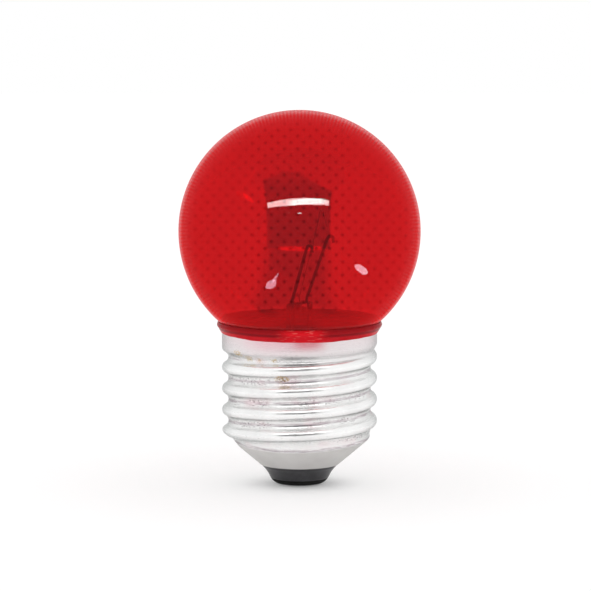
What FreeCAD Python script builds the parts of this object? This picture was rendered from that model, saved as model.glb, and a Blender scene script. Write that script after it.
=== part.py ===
import FreeCAD, Part

import functools
import math
import os
import re

import Sketcher

# Small coloured globe lamp with a filament and an E27 screw cap, in millimetres.
# The tip of the centre contact is the origin and the glass globe points up along +Z.
# -Y is the side that faces the viewer, so the screw thread rises from left to right there.

# Driving sizes: name, value, what it is
SIZES = (
    ("globe_radius", 20.45, "outer radius of the glass ball"),
    ("globe_height", 43.06, "height of the ball's centre"),
    ("glass_wall", 0.6, "wall of the blown glass"),
    ("neck_radius", 10.9, "outer radius of the glass neck inside the cap"),
    ("neck_fillet", 3.0, "inward curve between the ball and the neck"),
    ("seal_height", 12.0, "height where the neck and the stem flare are fused"),
    ("crest_radius", 13.15, "radius of the cap over the thread crests and the collar"),
    ("thread_pitch", 3.629, "rise of the cap's thread in one turn"),
    ("thread_arc", 1.025, "radius of the rounded crests and roots"),
    ("first_crest", 9.12, "height of the lowest full crest on the left side"),
    ("sheet_wall", 0.3, "thickness of the cap's sheet metal"),
    ("cone_radius", 6.7, "outer radius of the cap's lower edge"),
    ("cone_height", 3.45, "height of the cap's lower edge"),
    ("cone_slope", 1.174, "growth of the cone's radius with height"),
    ("cone_blend", 0.8, "softness of the corner between cone and thread"),
    ("start_low", 6.2, "height where the thread begins on the cone"),
    ("start_full", 9.4, "height where the thread has its full depth"),
    ("fade_low", 21.9, "height where the thread begins to fade"),
    ("fade_full", 24.3, "height where the thread has faded into the collar"),
    ("flare_bottom", 26.1, "height where the collar starts to flare"),
    ("rim_height", 26.9, "height of the flared rim's outer edge"),
    ("rim_radius", 13.6, "outer radius of the flared rim"),
    ("seat_gap", 0.02, "gap between the sheet metal and what is seated on it"),
    ("glass_step", 6.27, "radius of the insulator just below the cap's edge"),
    ("glass_step_height", 3.1, "height of that radius"),
    ("glass_flare", 5.4, "radius of the insulator's hollow side curve"),
    ("insulator_top", 5.6, "height of the insulator inside the cap"),
    ("insulator_hole", 1.6, "radius of the hole for the centre lead"),
    ("insulator_boss", 2.8, "radius where the bevel of that hole starts"),
    ("insulator_bevel", 0.7, "depth of that bevel"),
    ("insulator_lip", 0.05, "how far the insulator stands out beyond the plate"),
    ("plate_radius", 4.9, "outer radius of the centre contact plate"),
    ("plate_top", 1.1, "height of the plate's upper edge"),
    ("plate_hem", 0.45, "width of the plate's upper edge"),
    ("plate_wall", 0.38, "thickness of the plate"),
    ("plate_face", 0.12, "height of the plate's underside"),
    ("plate_flat", 3.4, "radius of the plate's flat underside"),
    ("plate_dish", 3.3, "radius of the plate's flat inside"),
    ("plate_knuckle", 4.4, "radius where the plate's rounded edge begins"),
    ("plate_knuckle_height", 0.53, "height where that edge begins"),
    ("plate_curve", 1.3, "radius of that edge's curve"),
    ("solder_radius", 2.2, "radius of the solder dome on the plate"),
    ("solder_flat", 1.5, "radius of the dome's flat tip"),
    ("solder_curve", 3.0, "radius of the dome's curved side"),
    ("solder_shoulder", 0.65, "height of the solder at the edge of the plate's hole"),
    ("solder_top", 0.95, "height of the solder at the lead, inside the plate"),
    ("cement_bottom", 20.0, "lower edge of the basing cement"),
    ("cement_step", 24.5, "height where the cement widens to the collar"),
    ("cement_top", 26.0, "upper edge of the basing cement"),
    ("cement_gap", 0.07, "gap between the cement and the thread's roots"),
    ("bead_bottom", 25.95, "lower edge of the lacquer bead"),
    ("bead_skin", 0.12, "thickness of the lacquer at that edge"),
    ("bead_lip", 27.2, "height of the bead's widest line"),
    ("bead_radius", 14.0, "radius of the bead's widest line"),
    ("bead_under", 0.58, "height of the bead's rounded lower side"),
    ("bead_lean", 0.38, "how far that side leans in"),
    ("bead_over", 0.3, "height of the bead's rounded upper edge"),
    ("bead_tuck", 0.06, "how far that edge leans in"),
    ("bead_top", 27.9, "height where the bead meets the ball"),
    ("bead_floor", 26.75, "how deep the lacquer runs in behind the rim"),
    ("bead_behind", 0.14, "gap between that lacquer and the sheet metal"),
    ("bead_cover", 0.19, "thickness of the lacquer over the rim"),
    ("flare_thick", 0.7, "thickness of the stem flare's edge"),
    ("flare_inner", 9.1, "radius of the flare's underside at its edge"),
    ("flare_land", 9.4, "radius where the flare starts to curve upwards"),
    ("flare_curve", 6.5, "radius of the flare's upper side"),
    ("flare_hollow", 6.2, "radius of the flare's underside curve"),
    ("bore_bottom", 16.3, "height where the stem tube's bore starts"),
    ("tube_radius", 3.0, "outer radius of the stem tube"),
    ("tube_wall", 0.6, "wall of the stem tube"),
    ("tube_bottom", 16.5, "height where the flare becomes a tube"),
    ("tube_top", 22.0, "height where the tube starts to flatten"),
    ("press_bottom", 26.5, "height where the pressed end starts"),
    ("press_top", 30.9, "top of the pressed end"),
    ("press_width", 6.0, "width of the pressed end"),
    ("press_thick", 2.0, "thickness of the pressed end"),
    ("press_turn", 52.0, "turn of the pressed end from the picture plane"),
    ("cavity_top", 24.0, "height of the hollow in the stem tube"),
    ("cavity_tip", 1.3, "radius of that hollow at its top"),
    ("exhaust_radius", 1.2, "outer radius of the exhaust tube"),
    ("exhaust_bore", 0.65, "bore radius of the exhaust tube"),
    ("exhaust_tip", 7.2, "height of the sealed tip of the exhaust tube"),
    ("exhaust_top", 25.4, "height where the exhaust tube joins the stem"),
    ("blow_hole", 0.5, "radius of the hole from the exhaust tube into the globe"),
    ("blow_length", 3.2, "length of that hole"),
    ("blow_rise", 0.25, "rise of that hole for each millimetre outwards"),
    ("lead_offset", 2.0, "distance of each lead from the axis in the stem"),
    ("side_drop", 15.0, "height where the side lead turns outwards"),
    ("side_low", 9.6, "lowest height of the side lead"),
    ("side_run", 11.33, "radius at which the side lead runs up beside the neck"),
    ("side_foot", 10.2, "height where that run starts"),
    ("side_head", 23.6, "height where that run ends"),
    ("centre_drop", 13.0, "height where the centre lead turns inwards"),
    ("joint_radius", 2.3, "distance of the joint with the fuse wire from the axis"),
    ("joint_height", 8.4, "height of that joint"),
    ("joint_straight", 1.4, "straight end of the centre lead at that joint"),
    ("outer_bend", 0.8, "bend radius of the outer leads"),
    ("blob_place", 13.35, "distance of the side solder from the axis"),
    ("blob_height", 26.3, "height of the side solder's middle"),
    ("blob_rise", 1.1, "half the height of the side solder"),
    ("blob_reach", 1.35, "half the width of the side solder along the rim"),
    ("blob_depth", 0.75, "half the thickness of the side solder"),
    ("seal_low", 26.6, "lower end of the seal wires"),
    ("seal_high", 29.9, "upper end of the seal wires"),
    ("seal_wire_radius", 0.2, "radius of the seal wires"),
    ("inner_wire_radius", 0.27, "radius of the inner leads"),
    ("outer_wire_radius", 0.15, "radius of the outer leads"),
    ("fuse_wire_radius", 0.09, "radius of the fuse wire"),
    ("support_wire_radius", 0.12, "radius of the filament support"),
    ("filament_radius", 0.16, "outer radius of the coiled filament"),
    ("left_tip_x", 1.3, "near lead's tip"),
    ("left_tip_y", -4.2, "near lead's tip"),
    ("left_tip_z", 41.0, "near lead's tip"),
    ("right_tip_x", 4.9, "far lead's tip"),
    ("right_tip_y", 4.2, "far lead's tip"),
    ("right_tip_z", 41.8, "far lead's tip"),
    ("lead_rise", 0.6, "straight rise of the leads out of the glass"),
    ("fold_length", 1.1, "length of the folded end of a lead"),
    ("filament_tail", 0.5, "straight end of the filament on each side of a fold"),
    ("filament_bend", 3.0, "bend radius of the filament's arch"),
    ("hook_bend", 0.35, "bend radius of the support's hook"),
    ("support_root", 1.8, "depth of the support in the pressed glass"),
    ("support_rise", 1.2, "straight rise of the support out of the glass"),
    ("arch_crown", 0.5, "fullness of the filament's arch on each side"),
    ("arch_x", 3.7, "top of the filament's arch"),
    ("arch_y", 0.0, "top of the filament's arch"),
    ("arch_z", 46.2, "top of the filament's arch"),
)

# Grid of the threaded sheet: columns round the axis and rows to one pitch
COLUMNS = 36
ROWS_PER_PITCH = 10

doc = FreeCAD.newDocument("globe_lamp")
sheet = doc.addObject("Spreadsheet::Sheet", "sizes")
for row, (alias, size, note) in enumerate(SIZES, start=1):
    sheet.set(f"A{row}", note)
    sheet.set(f"B{row}", str(size))
    sheet.setAlias(f"B{row}", alias)
doc.recompute()

ALIASES = {alias for alias, _, _ in SIZES}


def bound(formula):
    """The formula with each size's name pointing to its cell."""
    return re.sub(r"[a-z_]+", lambda word: f"sizes.{word[0]}" if word[0] in ALIASES else word[0], formula)


@functools.lru_cache(maxsize=None)
def value(formula):
    """The number that a formula of sizes gives."""
    return float(sheet.evalExpression(bound(formula)))


def polar(radius, angle, height):
    """The point at a radius, an angle in degrees from +X, and a height."""
    turn = math.radians(angle)
    return FreeCAD.Vector(radius * math.cos(turn), radius * math.sin(turn), height)


# Turned pieces: an outline of corners (radius, height) in words of the sizes, turned about Z.
# A corner with an arc radius and a side starts an arc whose centre lies on that side of the way.
def arc_between(start, end, radius, side):
    """The arc from start to end with its centre on the left or the right of the way."""
    chord = end - start
    middle = (start + end) * 0.5
    across = FreeCAD.Vector(-chord.y, chord.x, 0).normalize()
    reach = math.sqrt(max(radius ** 2 - (chord.Length / 2) ** 2, 0.0))
    centre = middle + across * (reach if side == "left" else -reach)
    first, last = (start, end) if side == "left" else (end, start)
    angles = [math.atan2(point.y - centre.y, point.x - centre.x) for point in (first, last)]
    if angles[1] < angles[0]:
        angles[1] += 2 * math.pi
    return Part.ArcOfCircle(Part.Circle(centre, FreeCAD.Vector(0, 0, 1), radius), *angles)


def draw_outline(sketch, outline):
    """Draw a closed outline and bind each corner and each arc to the sizes."""
    corners = [FreeCAD.Vector(value(corner[0]), value(corner[1]), 0) for corner in outline]
    count = len(outline)
    starts = []
    for index, corner in enumerate(outline):
        here, there = corners[index], corners[(index + 1) % count]
        if len(corner) == 2:
            sketch.addGeometry(Part.LineSegment(here, there))
            starts.append(1)
        else:
            sketch.addGeometry(arc_between(here, there, value(corner[2]), corner[3]))
            starts.append(1 if corner[3] == "left" else 2)
    for index, corner in enumerate(outline):
        follower = (index + 1) % count
        ends_at = 3 - starts[index]
        sketch.addConstraint(Sketcher.Constraint("Coincident", index, ends_at, follower, starts[follower]))
        for kind, formula, number in (
            ("DistanceX", corner[0], corners[index].x),
            ("DistanceY", corner[1], corners[index].y),
        ):
            rule = sketch.addConstraint(Sketcher.Constraint(kind, -1, 1, index, starts[index], number))
            sketch.setExpression(f"Constraints[{rule}]", bound(formula))
        if len(corner) == 4:
            rule = sketch.addConstraint(Sketcher.Constraint("Radius", index, value(corner[2])))
            sketch.setExpression(f"Constraints[{rule}]", bound(corner[2]))


def new_sketch(body, name, role):
    """A sketch on one of the body's own origin planes."""
    plane = next(item for item in body.Origin.OriginFeatures if item.Role == role)
    sketch = body.newObject("Sketcher::SketchObject", name)
    sketch.AttachmentSupport = [(plane, "")]
    sketch.MapMode = "FlatFace"
    return sketch


def turned_body(name, outline):
    """A body made by turning one outline about Z."""
    body = doc.addObject("PartDesign::Body", name)
    body.Label = name
    sketch = new_sketch(body, f"{name}_outline", "XZ_Plane")
    draw_outline(sketch, outline)
    turning = body.newObject("PartDesign::Revolution", f"{name}_turning")
    turning.Profile = (sketch, [""])
    turning.ReferenceAxis = (sketch, ["V_Axis"])
    turning.Angle = 360
    return body


# Bent wires: a round section swept along straight runs joined by tangent arcs
def bent_route(points, radius):
    """Straight runs through the points, with each corner rounded to the radius."""
    edges = []
    here = points[0]
    for before, corner, after in zip(points, points[1:], points[2:]):
        back = (before - corner).normalize()
        ahead = (after - corner).normalize()
        half = back.getAngle(ahead) / 2
        reach = min(radius / math.tan(half), 0.45 * min((before - corner).Length, (after - corner).Length))
        bend = reach * math.tan(half)
        bisector = (back + ahead).normalize()
        middle = corner + bisector * (bend / math.sin(half) - bend)
        into, out = corner + back * reach, corner + ahead * reach
        edges.append(Part.LineSegment(here, into).toShape())
        edges.append(Part.Arc(into, middle, out).toShape())
        here = out
    edges.append(Part.LineSegment(here, points[-1]).toShape())
    return Part.Wire(edges)


def bent_wire(name, points, radius_name, bend):
    """A wire of the named radius along a bent route."""
    route = doc.addObject("Part::Feature", f"{name}_route")
    route.Shape = bent_route(points, bend)
    route.Placement = FreeCAD.Placement()
    section = doc.addObject("Part::Circle", f"{name}_section")
    section.setExpression("Radius", bound(radius_name))
    facing = FreeCAD.Rotation(FreeCAD.Vector(0, 0, 1), points[1] - points[0])
    section.Placement = FreeCAD.Placement(points[0], facing)
    sweep = doc.addObject("Part::Sweep", name)
    sweep.Sections = [section]
    sweep.Spine = (route, [f"Edge{number + 1}" for number in range(len(route.Shape.Edges))])
    sweep.Solid = True
    sweep.Frenet = False
    sweep.Label = name
    return sweep


def straight_pin(name, foot, radius_name, length, way=FreeCAD.Vector(0, 0, 1)):
    """A straight round bar of the named radius from its foot along a way."""
    pin = doc.addObject("Part::Cylinder", name)
    pin.setExpression("Radius", bound(radius_name))
    pin.setExpression("Height", bound(length))
    pin.Placement = FreeCAD.Placement(foot, FreeCAD.Rotation(FreeCAD.Vector(0, 0, 1), way))
    pin.Label = name
    return pin


def cut_away(name, base, tools):
    """What is left of the base where the tools don't pass through it."""
    cut = doc.addObject("Part::Cut", name)
    cut.Base = base
    if len(tools) == 1:
        cut.Tool = tools[0]
    else:
        joined = doc.addObject("Part::MultiFuse", f"{name}_tools")
        joined.Shapes = tools
        cut.Tool = joined
    cut.Label = name
    return cut


# Glass envelope: a blown ball that curves inward to the neck inside the cap
ROUND_DROP = "sqrt((globe_radius + neck_fillet)^2 - (neck_radius + neck_fillet)^2)"
NECK_TURN = f"globe_height - {ROUND_DROP}"
OUTER_SHARE = "globe_radius / (globe_radius + neck_fillet)"
INNER_SHARE = "(globe_radius - glass_wall) / (globe_radius + neck_fillet)"

glass_envelope = turned_body("glass_envelope", (
    ("neck_radius", "seal_height"),
    ("neck_radius", NECK_TURN, "neck_fillet", "right"),
    (
        f"{OUTER_SHARE} * (neck_radius + neck_fillet)",
        f"globe_height - {OUTER_SHARE} * {ROUND_DROP}",
        "globe_radius",
        "left",
    ),
    ("0", "globe_height + globe_radius"),
    ("0", "globe_height + globe_radius - glass_wall", "globe_radius - glass_wall", "right"),
    (
        f"{INNER_SHARE} * (neck_radius + neck_fillet)",
        f"globe_height - {INNER_SHARE} * {ROUND_DROP}",
        "neck_fillet + glass_wall",
        "left",
    ),
    ("neck_radius - glass_wall", NECK_TURN),
    ("neck_radius - glass_wall", "seal_height"),
))


# Cap shell: one drawn sheet-metal sleeve with a rolled knuckle thread, so the thread shows
# on its inside too. Each side of the sheet is one smooth surface over angle and height.
def smooth_step(low, high, place):
    """Rise from 0 to 1 between low and high with level ends."""
    share = min(max((place - low) / (high - low), 0.0), 1.0)
    return share * share * (3 - 2 * share)


def soft_minimum(first, second, softness):
    """The smaller of two values with the corner between them rounded off."""
    overlap = max(softness - abs(first - second), 0.0) / softness
    return min(first, second) - overlap * overlap * softness / 4


def thread_drop(offset):
    """How far the knuckle thread lies inside its crest at this distance from a crest line."""
    pitch = value("thread_pitch")
    arc = value("thread_arc")
    depth = 2 * (arc - math.sqrt(arc ** 2 - (pitch / 4) ** 2))
    away = abs((offset + pitch / 2) % pitch - pitch / 2)
    if away <= pitch / 4:
        return arc - math.sqrt(arc ** 2 - away ** 2)
    return depth - (arc - math.sqrt(arc ** 2 - (pitch / 2 - away) ** 2))


def cap_radius(angle, height):
    """The cap's outer radius: cone and collar, less the thread, plus the flared rim."""
    cone = value("cone_radius") + value("cone_slope") * (height - value("cone_height"))
    envelope = soft_minimum(value("crest_radius"), cone, value("cone_blend"))
    crest = value("first_crest") + value("thread_pitch") * (angle - 180.0) / 360.0
    amount = smooth_step(value("start_low"), value("start_full"), height)
    amount *= 1 - smooth_step(value("fade_low"), value("fade_full"), height)
    flare = max(height - value("flare_bottom"), 0.0) * value("rim_radius - crest_radius")
    flare /= value("rim_height - flare_bottom")
    return envelope - amount * thread_drop(height - crest) + flare


def sheet_point(angle, height, depth):
    """A point of the sheet at a depth under its outer surface, square to that surface."""
    reach = 0.02
    low, high = value("cone_height"), value("rim_height")
    below, above = max(height - reach, low), min(height + reach, high)
    slope = (cap_radius(angle, above) - cap_radius(angle, below)) / (above - below)
    length = math.hypot(1.0, slope)
    radius = cap_radius(angle, height) - depth / length
    return polar(radius, angle, height + depth * slope / length)


def sharpened(before, here, after):
    """A pole that makes a cubic curve pass through the point that the pole comes from."""
    return here - (before - here * 2 + after) * (1.0 / 6.0)


def sheet_surface(depth):
    """A smooth surface of the sheet, closed round the axis, at a depth under its outside."""
    low, high = value("cone_height"), value("rim_height")
    spans = round((high - low) / value("thread_pitch") * ROWS_PER_PITCH)
    step = (high - low) / spans
    heights = [low, low + step / 3] + [low + step * number for number in range(1, spans)]
    heights += [high - step / 3, high]
    angles = [360.0 * number / COLUMNS for number in range(COLUMNS)]
    points = [[sheet_point(angle, height, depth) for height in heights] for angle in angles]
    rounded = [
        [sharpened(points[column - 1][row], point, points[(column + 1) % COLUMNS][row])
         for row, point in enumerate(line)]
        for column, line in enumerate(points)
    ]
    poles = []
    for line in rounded:
        middle = [sharpened(*line[row - 1:row + 2]) for row in range(3, len(line) - 3)]
        poles.append(line[:3] + middle + line[-3:])
    surface = Part.BSplineSurface()
    surface.buildFromPolesMultsKnots(
        poles,
        [1] * (COLUMNS + 1),
        [4] + [1] * (spans - 1) + [4],
        [float(number) for number in range(COLUMNS + 1)],
        [low + step * number for number in range(spans + 1)],
        True,
        False,
        3,
        3,
    )
    return surface


def rim_edge(face, height):
    """The closed edge of a face that lies at about this height all the way round."""
    rings = [edge for edge in face.Edges if edge.BoundBox.ZLength < 0.01]
    return min(rings, key=lambda edge: abs(edge.BoundBox.ZMin - height))


def make_cap_shell():
    """The cap's sheet as one solid between its outer and inner surface."""
    outside = sheet_surface(0.0).toShape()
    inside = sheet_surface(value("sheet_wall")).toShape()
    ends = [
        Part.makeRuledSurface(rim_edge(outside, height), rim_edge(inside, height))
        for height in (value("cone_height"), value("rim_height"))
    ]
    sleeve = Part.makeCompound([outside, inside] + ends)
    sleeve.sewShape()
    solid = Part.Solid(sleeve.Shells[0])
    if solid.Volume < 0:
        solid.reverse()
    return solid


cap_shell = doc.addObject("Part::Feature", "cap_shell")
cap_shell.Shape = make_cap_shell()
cap_shell.Placement = FreeCAD.Placement()
cap_shell.Label = "cap_shell"

# Black glass insulator: moulded into the cap's lower end and into the dish of the contact plate
CONE_LENGTH = "sqrt(1 + cone_slope^2)"
CONE_INNER = "cone_radius - (sheet_wall + seat_gap) / " + CONE_LENGTH
CONE_RAISED = "cone_height + (sheet_wall + seat_gap) * cone_slope / " + CONE_LENGTH

cap_insulator = turned_body("cap_insulator", (
    ("insulator_hole", "plate_face + plate_wall"),
    ("plate_dish", "plate_face + plate_wall"),
    ("plate_radius - plate_hem", "plate_top"),
    ("plate_radius + insulator_lip", "plate_top", "glass_flare", "right"),
    ("glass_step", "glass_step_height"),
    (CONE_INNER, CONE_RAISED),
    (f"{CONE_INNER} + cone_slope * (insulator_top - ({CONE_RAISED}))", "insulator_top"),
    ("insulator_boss", "insulator_top"),
    ("insulator_hole", "insulator_top - insulator_bevel"),
))

# Centre contact: a dished plate with a hole, and the solder that closes it round the lead
contact_plate = turned_body("contact_plate", (
    ("solder_flat", "plate_face"),
    ("plate_flat", "plate_face"),
    ("plate_knuckle", "plate_knuckle_height", "plate_curve", "left"),
    ("plate_radius", "plate_top"),
    ("plate_radius - plate_hem", "plate_top"),
    ("plate_dish", "plate_face + plate_wall"),
    ("solder_flat", "plate_face + plate_wall"),
))

contact_solder_blank = turned_body("contact_solder_blank", (
    ("0", "0"),
    ("solder_flat", "0", "solder_curve", "left"),
    ("solder_radius", "plate_face"),
    ("solder_flat", "plate_face"),
    ("solder_flat", "solder_shoulder"),
    ("0", "solder_top"),
))

# Basing cement: a baked ring that holds the neck in the cap
THREAD_DEPTH = "2 * (thread_arc - sqrt(thread_arc^2 - (thread_pitch / 4)^2))"
THREAD_ROOM = f"crest_radius - {THREAD_DEPTH} - sheet_wall - cement_gap"
COLLAR_ROOM = "crest_radius - sheet_wall - seat_gap"
cement_blank = turned_body("cement_blank", (
    ("neck_radius", "cement_bottom"),
    (THREAD_ROOM, "cement_bottom"),
    (THREAD_ROOM, "cement_step"),
    (COLLAR_ROOM, "cement_step"),
    (COLLAR_ROOM, "cement_top"),
    (
        f"neck_radius + neck_fillet - sqrt(neck_fillet^2 - (cement_top - ({NECK_TURN}))^2)",
        "cement_top",
        "neck_fillet",
        "left",
    ),
    ("neck_radius", NECK_TURN),
))

# Lacquer bead: the thick coloured lacquer that fills the joint between the ball and the rim
FLARE_SLOPE = "(rim_radius - crest_radius) / (rim_height - flare_bottom)"
bead_blank = turned_body("bead_blank", (
    ("crest_radius + seat_gap", "bead_bottom"),
    ("crest_radius + seat_gap + bead_skin", "bead_bottom + bead_skin"),
    ("bead_radius - bead_lean", "bead_lip - bead_under"),
    ("bead_radius", "bead_lip"),
    ("bead_radius - bead_tuck", "bead_lip + bead_over"),
    ("sqrt(globe_radius^2 - (globe_height - bead_top)^2)", "bead_top", "globe_radius", "right"),
    ("sqrt(globe_radius^2 - (globe_height - bead_floor)^2)", "bead_floor"),
    (f"{COLLAR_ROOM} + (bead_floor - flare_bottom) * {FLARE_SLOPE} - bead_behind", "bead_floor"),
    ("rim_radius - sheet_wall + seat_gap", "rim_height + bead_cover"),
    ("rim_radius + 2 * seat_gap", "rim_height"),
    ("crest_radius + 2 * seat_gap", "flare_bottom - seat_gap"),
))

# Stem: a glass tube, flared where it is fused to the neck and pressed flat round the wires
TURN = value("press_turn")
ALONG = polar(1.0, TURN, 0.0)


def upright(reach, height):
    """A point on the pressed end's middle plane at a reach from the axis."""
    return ALONG * reach + FreeCAD.Vector(0, 0, height)


def round_slot(middle, reach, arc, half, sides=()):
    """The corners of an oval: two sides, straight or curved, and each end made of two arcs."""
    return (
        (middle, f"-({half})", arc, "left"),
        (reach, "0", arc, "left"),
        (middle, half, *sides),
        (f"-({middle})", half, arc, "left"),
        (f"-({reach})", "0", arc, "left"),
        (f"-({middle})", f"-({half})", *sides),
    )


def section_at(body, name, height, corners):
    """A sketch of some corners at a height, turned about Z like the pressed end."""
    sketch = new_sketch(body, name, "XY_Plane")
    offset = FreeCAD.Rotation(FreeCAD.Vector(0, 0, 1), TURN)
    sketch.AttachmentOffset = FreeCAD.Placement(FreeCAD.Vector(0, 0, value(height)), offset)
    draw_outline(sketch, corners)
    return sketch


stem_body = turned_body("stem_blank", (
    ("flare_inner", "seal_height - flare_thick"),
    ("neck_radius", "seal_height - flare_thick"),
    ("neck_radius", "seal_height"),
    ("flare_land", "seal_height", "flare_curve", "right"),
    ("tube_radius", "tube_bottom"),
    ("tube_radius", "tube_top"),
    ("tube_radius - tube_wall", "tube_top"),
    ("tube_radius - tube_wall", "bore_bottom", "flare_hollow", "left"),
))
HALF_PRESS = "press_thick / 2"
PRESS_SLOT = round_slot(f"press_width / 2 - {HALF_PRESS}", "press_width / 2", HALF_PRESS, HALF_PRESS)
TUBE_SLOT = round_slot(
    "tube_radius * 0.5", "tube_radius", "tube_radius", "tube_radius * sqrt(0.75)", ("tube_radius", "left"))
tube_end = section_at(stem_body, "tube_end", "tube_top", TUBE_SLOT)
press_start = section_at(stem_body, "press_start", "press_bottom", PRESS_SLOT)
flattening = stem_body.newObject("PartDesign::AdditiveLoft", "stem_flattening")
flattening.Profile = tube_end
flattening.Sections = [press_start]
press_foot = section_at(stem_body, "press_foot", "press_bottom", PRESS_SLOT)
pressing = stem_body.newObject("PartDesign::Pad", "stem_pressing")
pressing.Profile = press_foot
pressing.setExpression("Length", bound("press_top - press_bottom"))

# The stem's hollow ends in a cone, and the blow hole leads from the exhaust tube to the globe
stem_hollow = doc.addObject("Part::Cone", "stem_hollow")
stem_hollow.setExpression("Radius1", bound("tube_radius - tube_wall"))
stem_hollow.setExpression("Radius2", bound("cavity_tip"))
stem_hollow.setExpression("Height", bound("cavity_top - tube_top"))
stem_hollow.Placement = FreeCAD.Placement(FreeCAD.Vector(0, 0, value("tube_top")), FreeCAD.Rotation())

exhaust_room = straight_pin(
    "exhaust_room", FreeCAD.Vector(0, 0, value("tube_top")), "exhaust_radius", "exhaust_top - tube_top")
blow_hole = straight_pin(
    "blow_hole_tool", FreeCAD.Vector(0, 0, value("exhaust_top")), "blow_hole", "blow_length",
    polar(1.0, TURN + 90.0, value("blow_rise")))

exhaust_tube = turned_body("exhaust_tube", (
    ("0", "exhaust_tip", "exhaust_radius", "left"),
    ("exhaust_radius", "exhaust_tip + exhaust_radius"),
    ("exhaust_radius", "exhaust_top"),
    ("exhaust_bore", "exhaust_top"),
    ("exhaust_bore", "exhaust_tip + 2 * exhaust_radius"),
    ("0", "exhaust_tip + exhaust_radius"),
))

# Wires through the stem: outer lead, seal wire and inner lead are joined end to end
left_seal_wire = straight_pin(
    "left_seal_wire", upright(-value("lead_offset"), value("seal_low")), "seal_wire_radius",
    "seal_high - seal_low")
right_seal_wire = straight_pin(
    "right_seal_wire", upright(value("lead_offset"), value("seal_low")), "seal_wire_radius",
    "seal_high - seal_low")

LEFT_TIP, RIGHT_TIP, ARCH = (
    FreeCAD.Vector(*(value(f"{name}_{axis}") for axis in "xyz"))
    for name in ("left_tip", "right_tip", "arch"))
FOLD = "2 * (inner_wire_radius + filament_radius) + seat_gap"


def inward(tip):
    """The level direction from a lead's tip towards the filament's arch."""
    way = FreeCAD.Vector(ARCH.x - tip.x, ARCH.y - tip.y, 0)
    return way.normalize()


def sideways(tip):
    """The level direction square to the filament at a lead's tip, on the right-hand side."""
    square = FreeCAD.Vector(0, 0, 1).cross(inward(tip))
    return square if square.x > 0 else square * -1


def inner_lead(name, side, tip):
    """A lead from the seal wire up to its tip, folded over there to clamp the filament."""
    foot = upright(side * value("lead_offset"), value("seal_high"))
    elbow = upright(side * value("lead_offset"), value("press_top + lead_rise"))
    over = tip + sideways(tip) * value(FOLD)
    down = over - FreeCAD.Vector(0, 0, value("fold_length"))
    return bent_wire(name, [foot, elbow, tip, over, down], "inner_wire_radius", value(FOLD) / 2)


left_inner_lead = inner_lead("left_inner_lead", -1.0, LEFT_TIP)
right_inner_lead = inner_lead("right_inner_lead", 1.0, RIGHT_TIP)

# Side lead: down the flare, round the neck's foot, up between neck and cap, and over the rim.
# The stations at the rim are (radius, height) at the back of the cap.
BACK = 90.0
OVER_RIM = (
    ("side_run", "side_foot"),
    ("side_run", "side_head"),
    ("rim_radius - 1.1", "flare_bottom - 0.2"),
    ("rim_radius - 0.65", "rim_height - 0.15"),
    ("rim_radius - 0.38", "rim_height + 0.42"),
    ("rim_radius + 0.18", "rim_height + 0.3"),
    ("rim_radius + 0.26", "rim_height - 0.05"),
    ("crest_radius + 0.21", "flare_bottom - 0.1"),
)
side_lead = bent_wire("side_lead", [
    upright(value("lead_offset"), value("seal_low")),
    upright(value("lead_offset"), value("side_drop")),
    polar(value("side_run / 2"), BACK - 20.0, value("side_low")),
    *(polar(value(radius), BACK, value(height)) for radius, height in OVER_RIM),
], "outer_wire_radius", value("outer_bend"))

# Centre lead and the thin fuse wire that carries on from it into the contact's solder
JOINT = polar(value("joint_radius"), TURN + 195.0, value("joint_height"))
centre_lead = bent_wire("centre_lead", [
    upright(-value("lead_offset"), value("seal_low")),
    upright(-value("lead_offset"), value("centre_drop")),
    JOINT + FreeCAD.Vector(0, 0, value("joint_straight")),
    JOINT,
], "outer_wire_radius", value("outer_bend"))
fuse_wire = bent_wire("fuse_wire", [
    JOINT,
    JOINT - FreeCAD.Vector(0, 0, value("joint_straight") - 0.2),
    polar(value("insulator_hole") - 1.0, TURN + 215.0, value("insulator_top - insulator_bevel")),
    polar(value("insulator_hole") - 1.3, TURN + 215.0, value("plate_top * 2")),
    FreeCAD.Vector(0, 0, value("solder_shoulder - 0.05")),
], "fuse_wire_radius", value("outer_bend"))

contact_solder = cut_away("contact_solder", contact_solder_blank, [fuse_wire])

# Filament: a fine coil that arches from one lead to the other over its support
def clamped(tip, beyond):
    """A point of the filament in a lead's fold, or beyond it towards the arch."""
    under = FreeCAD.Vector(0, 0, value("inner_wire_radius + filament_radius + seat_gap"))
    return tip + sideways(tip) * (value(FOLD) / 2) + inward(tip) * beyond - under


def arch_side(tip):
    """A point of the filament's arch between a lead's tip and the top."""
    return clamped(tip, 0.0) * 0.4 + ARCH * 0.6 + FreeCAD.Vector(0, 0, value("arch_crown"))


filament = bent_wire("filament", [
    clamped(LEFT_TIP, -value("filament_tail")),
    clamped(LEFT_TIP, value("filament_tail")),
    arch_side(LEFT_TIP),
    ARCH,
    arch_side(RIGHT_TIP),
    clamped(RIGHT_TIP, value("filament_tail")),
    clamped(RIGHT_TIP, -value("filament_tail")),
], "filament_radius", value("filament_bend"))

# The support's hook passes round the filament: (across, up) from the top of the arch
HOOK = ((-0.55, -1.6), (-0.42, 0.42), (0.42, 0.42), (0.42, -0.55))
filament_support = bent_wire("filament_support", [
    upright(0.0, value("press_top - support_root")),
    upright(0.0, value("press_top + support_rise")),
    *(ARCH + FreeCAD.Vector(across, 0.0, up) for across, up in HOOK),
], "support_wire_radius", value("hook_bend"))

stem_flare = cut_away("stem_flare", stem_body, [
    stem_hollow, exhaust_room, blow_hole, left_seal_wire, right_seal_wire, left_inner_lead,
    right_inner_lead, side_lead, centre_lead, filament_support,
])

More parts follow.
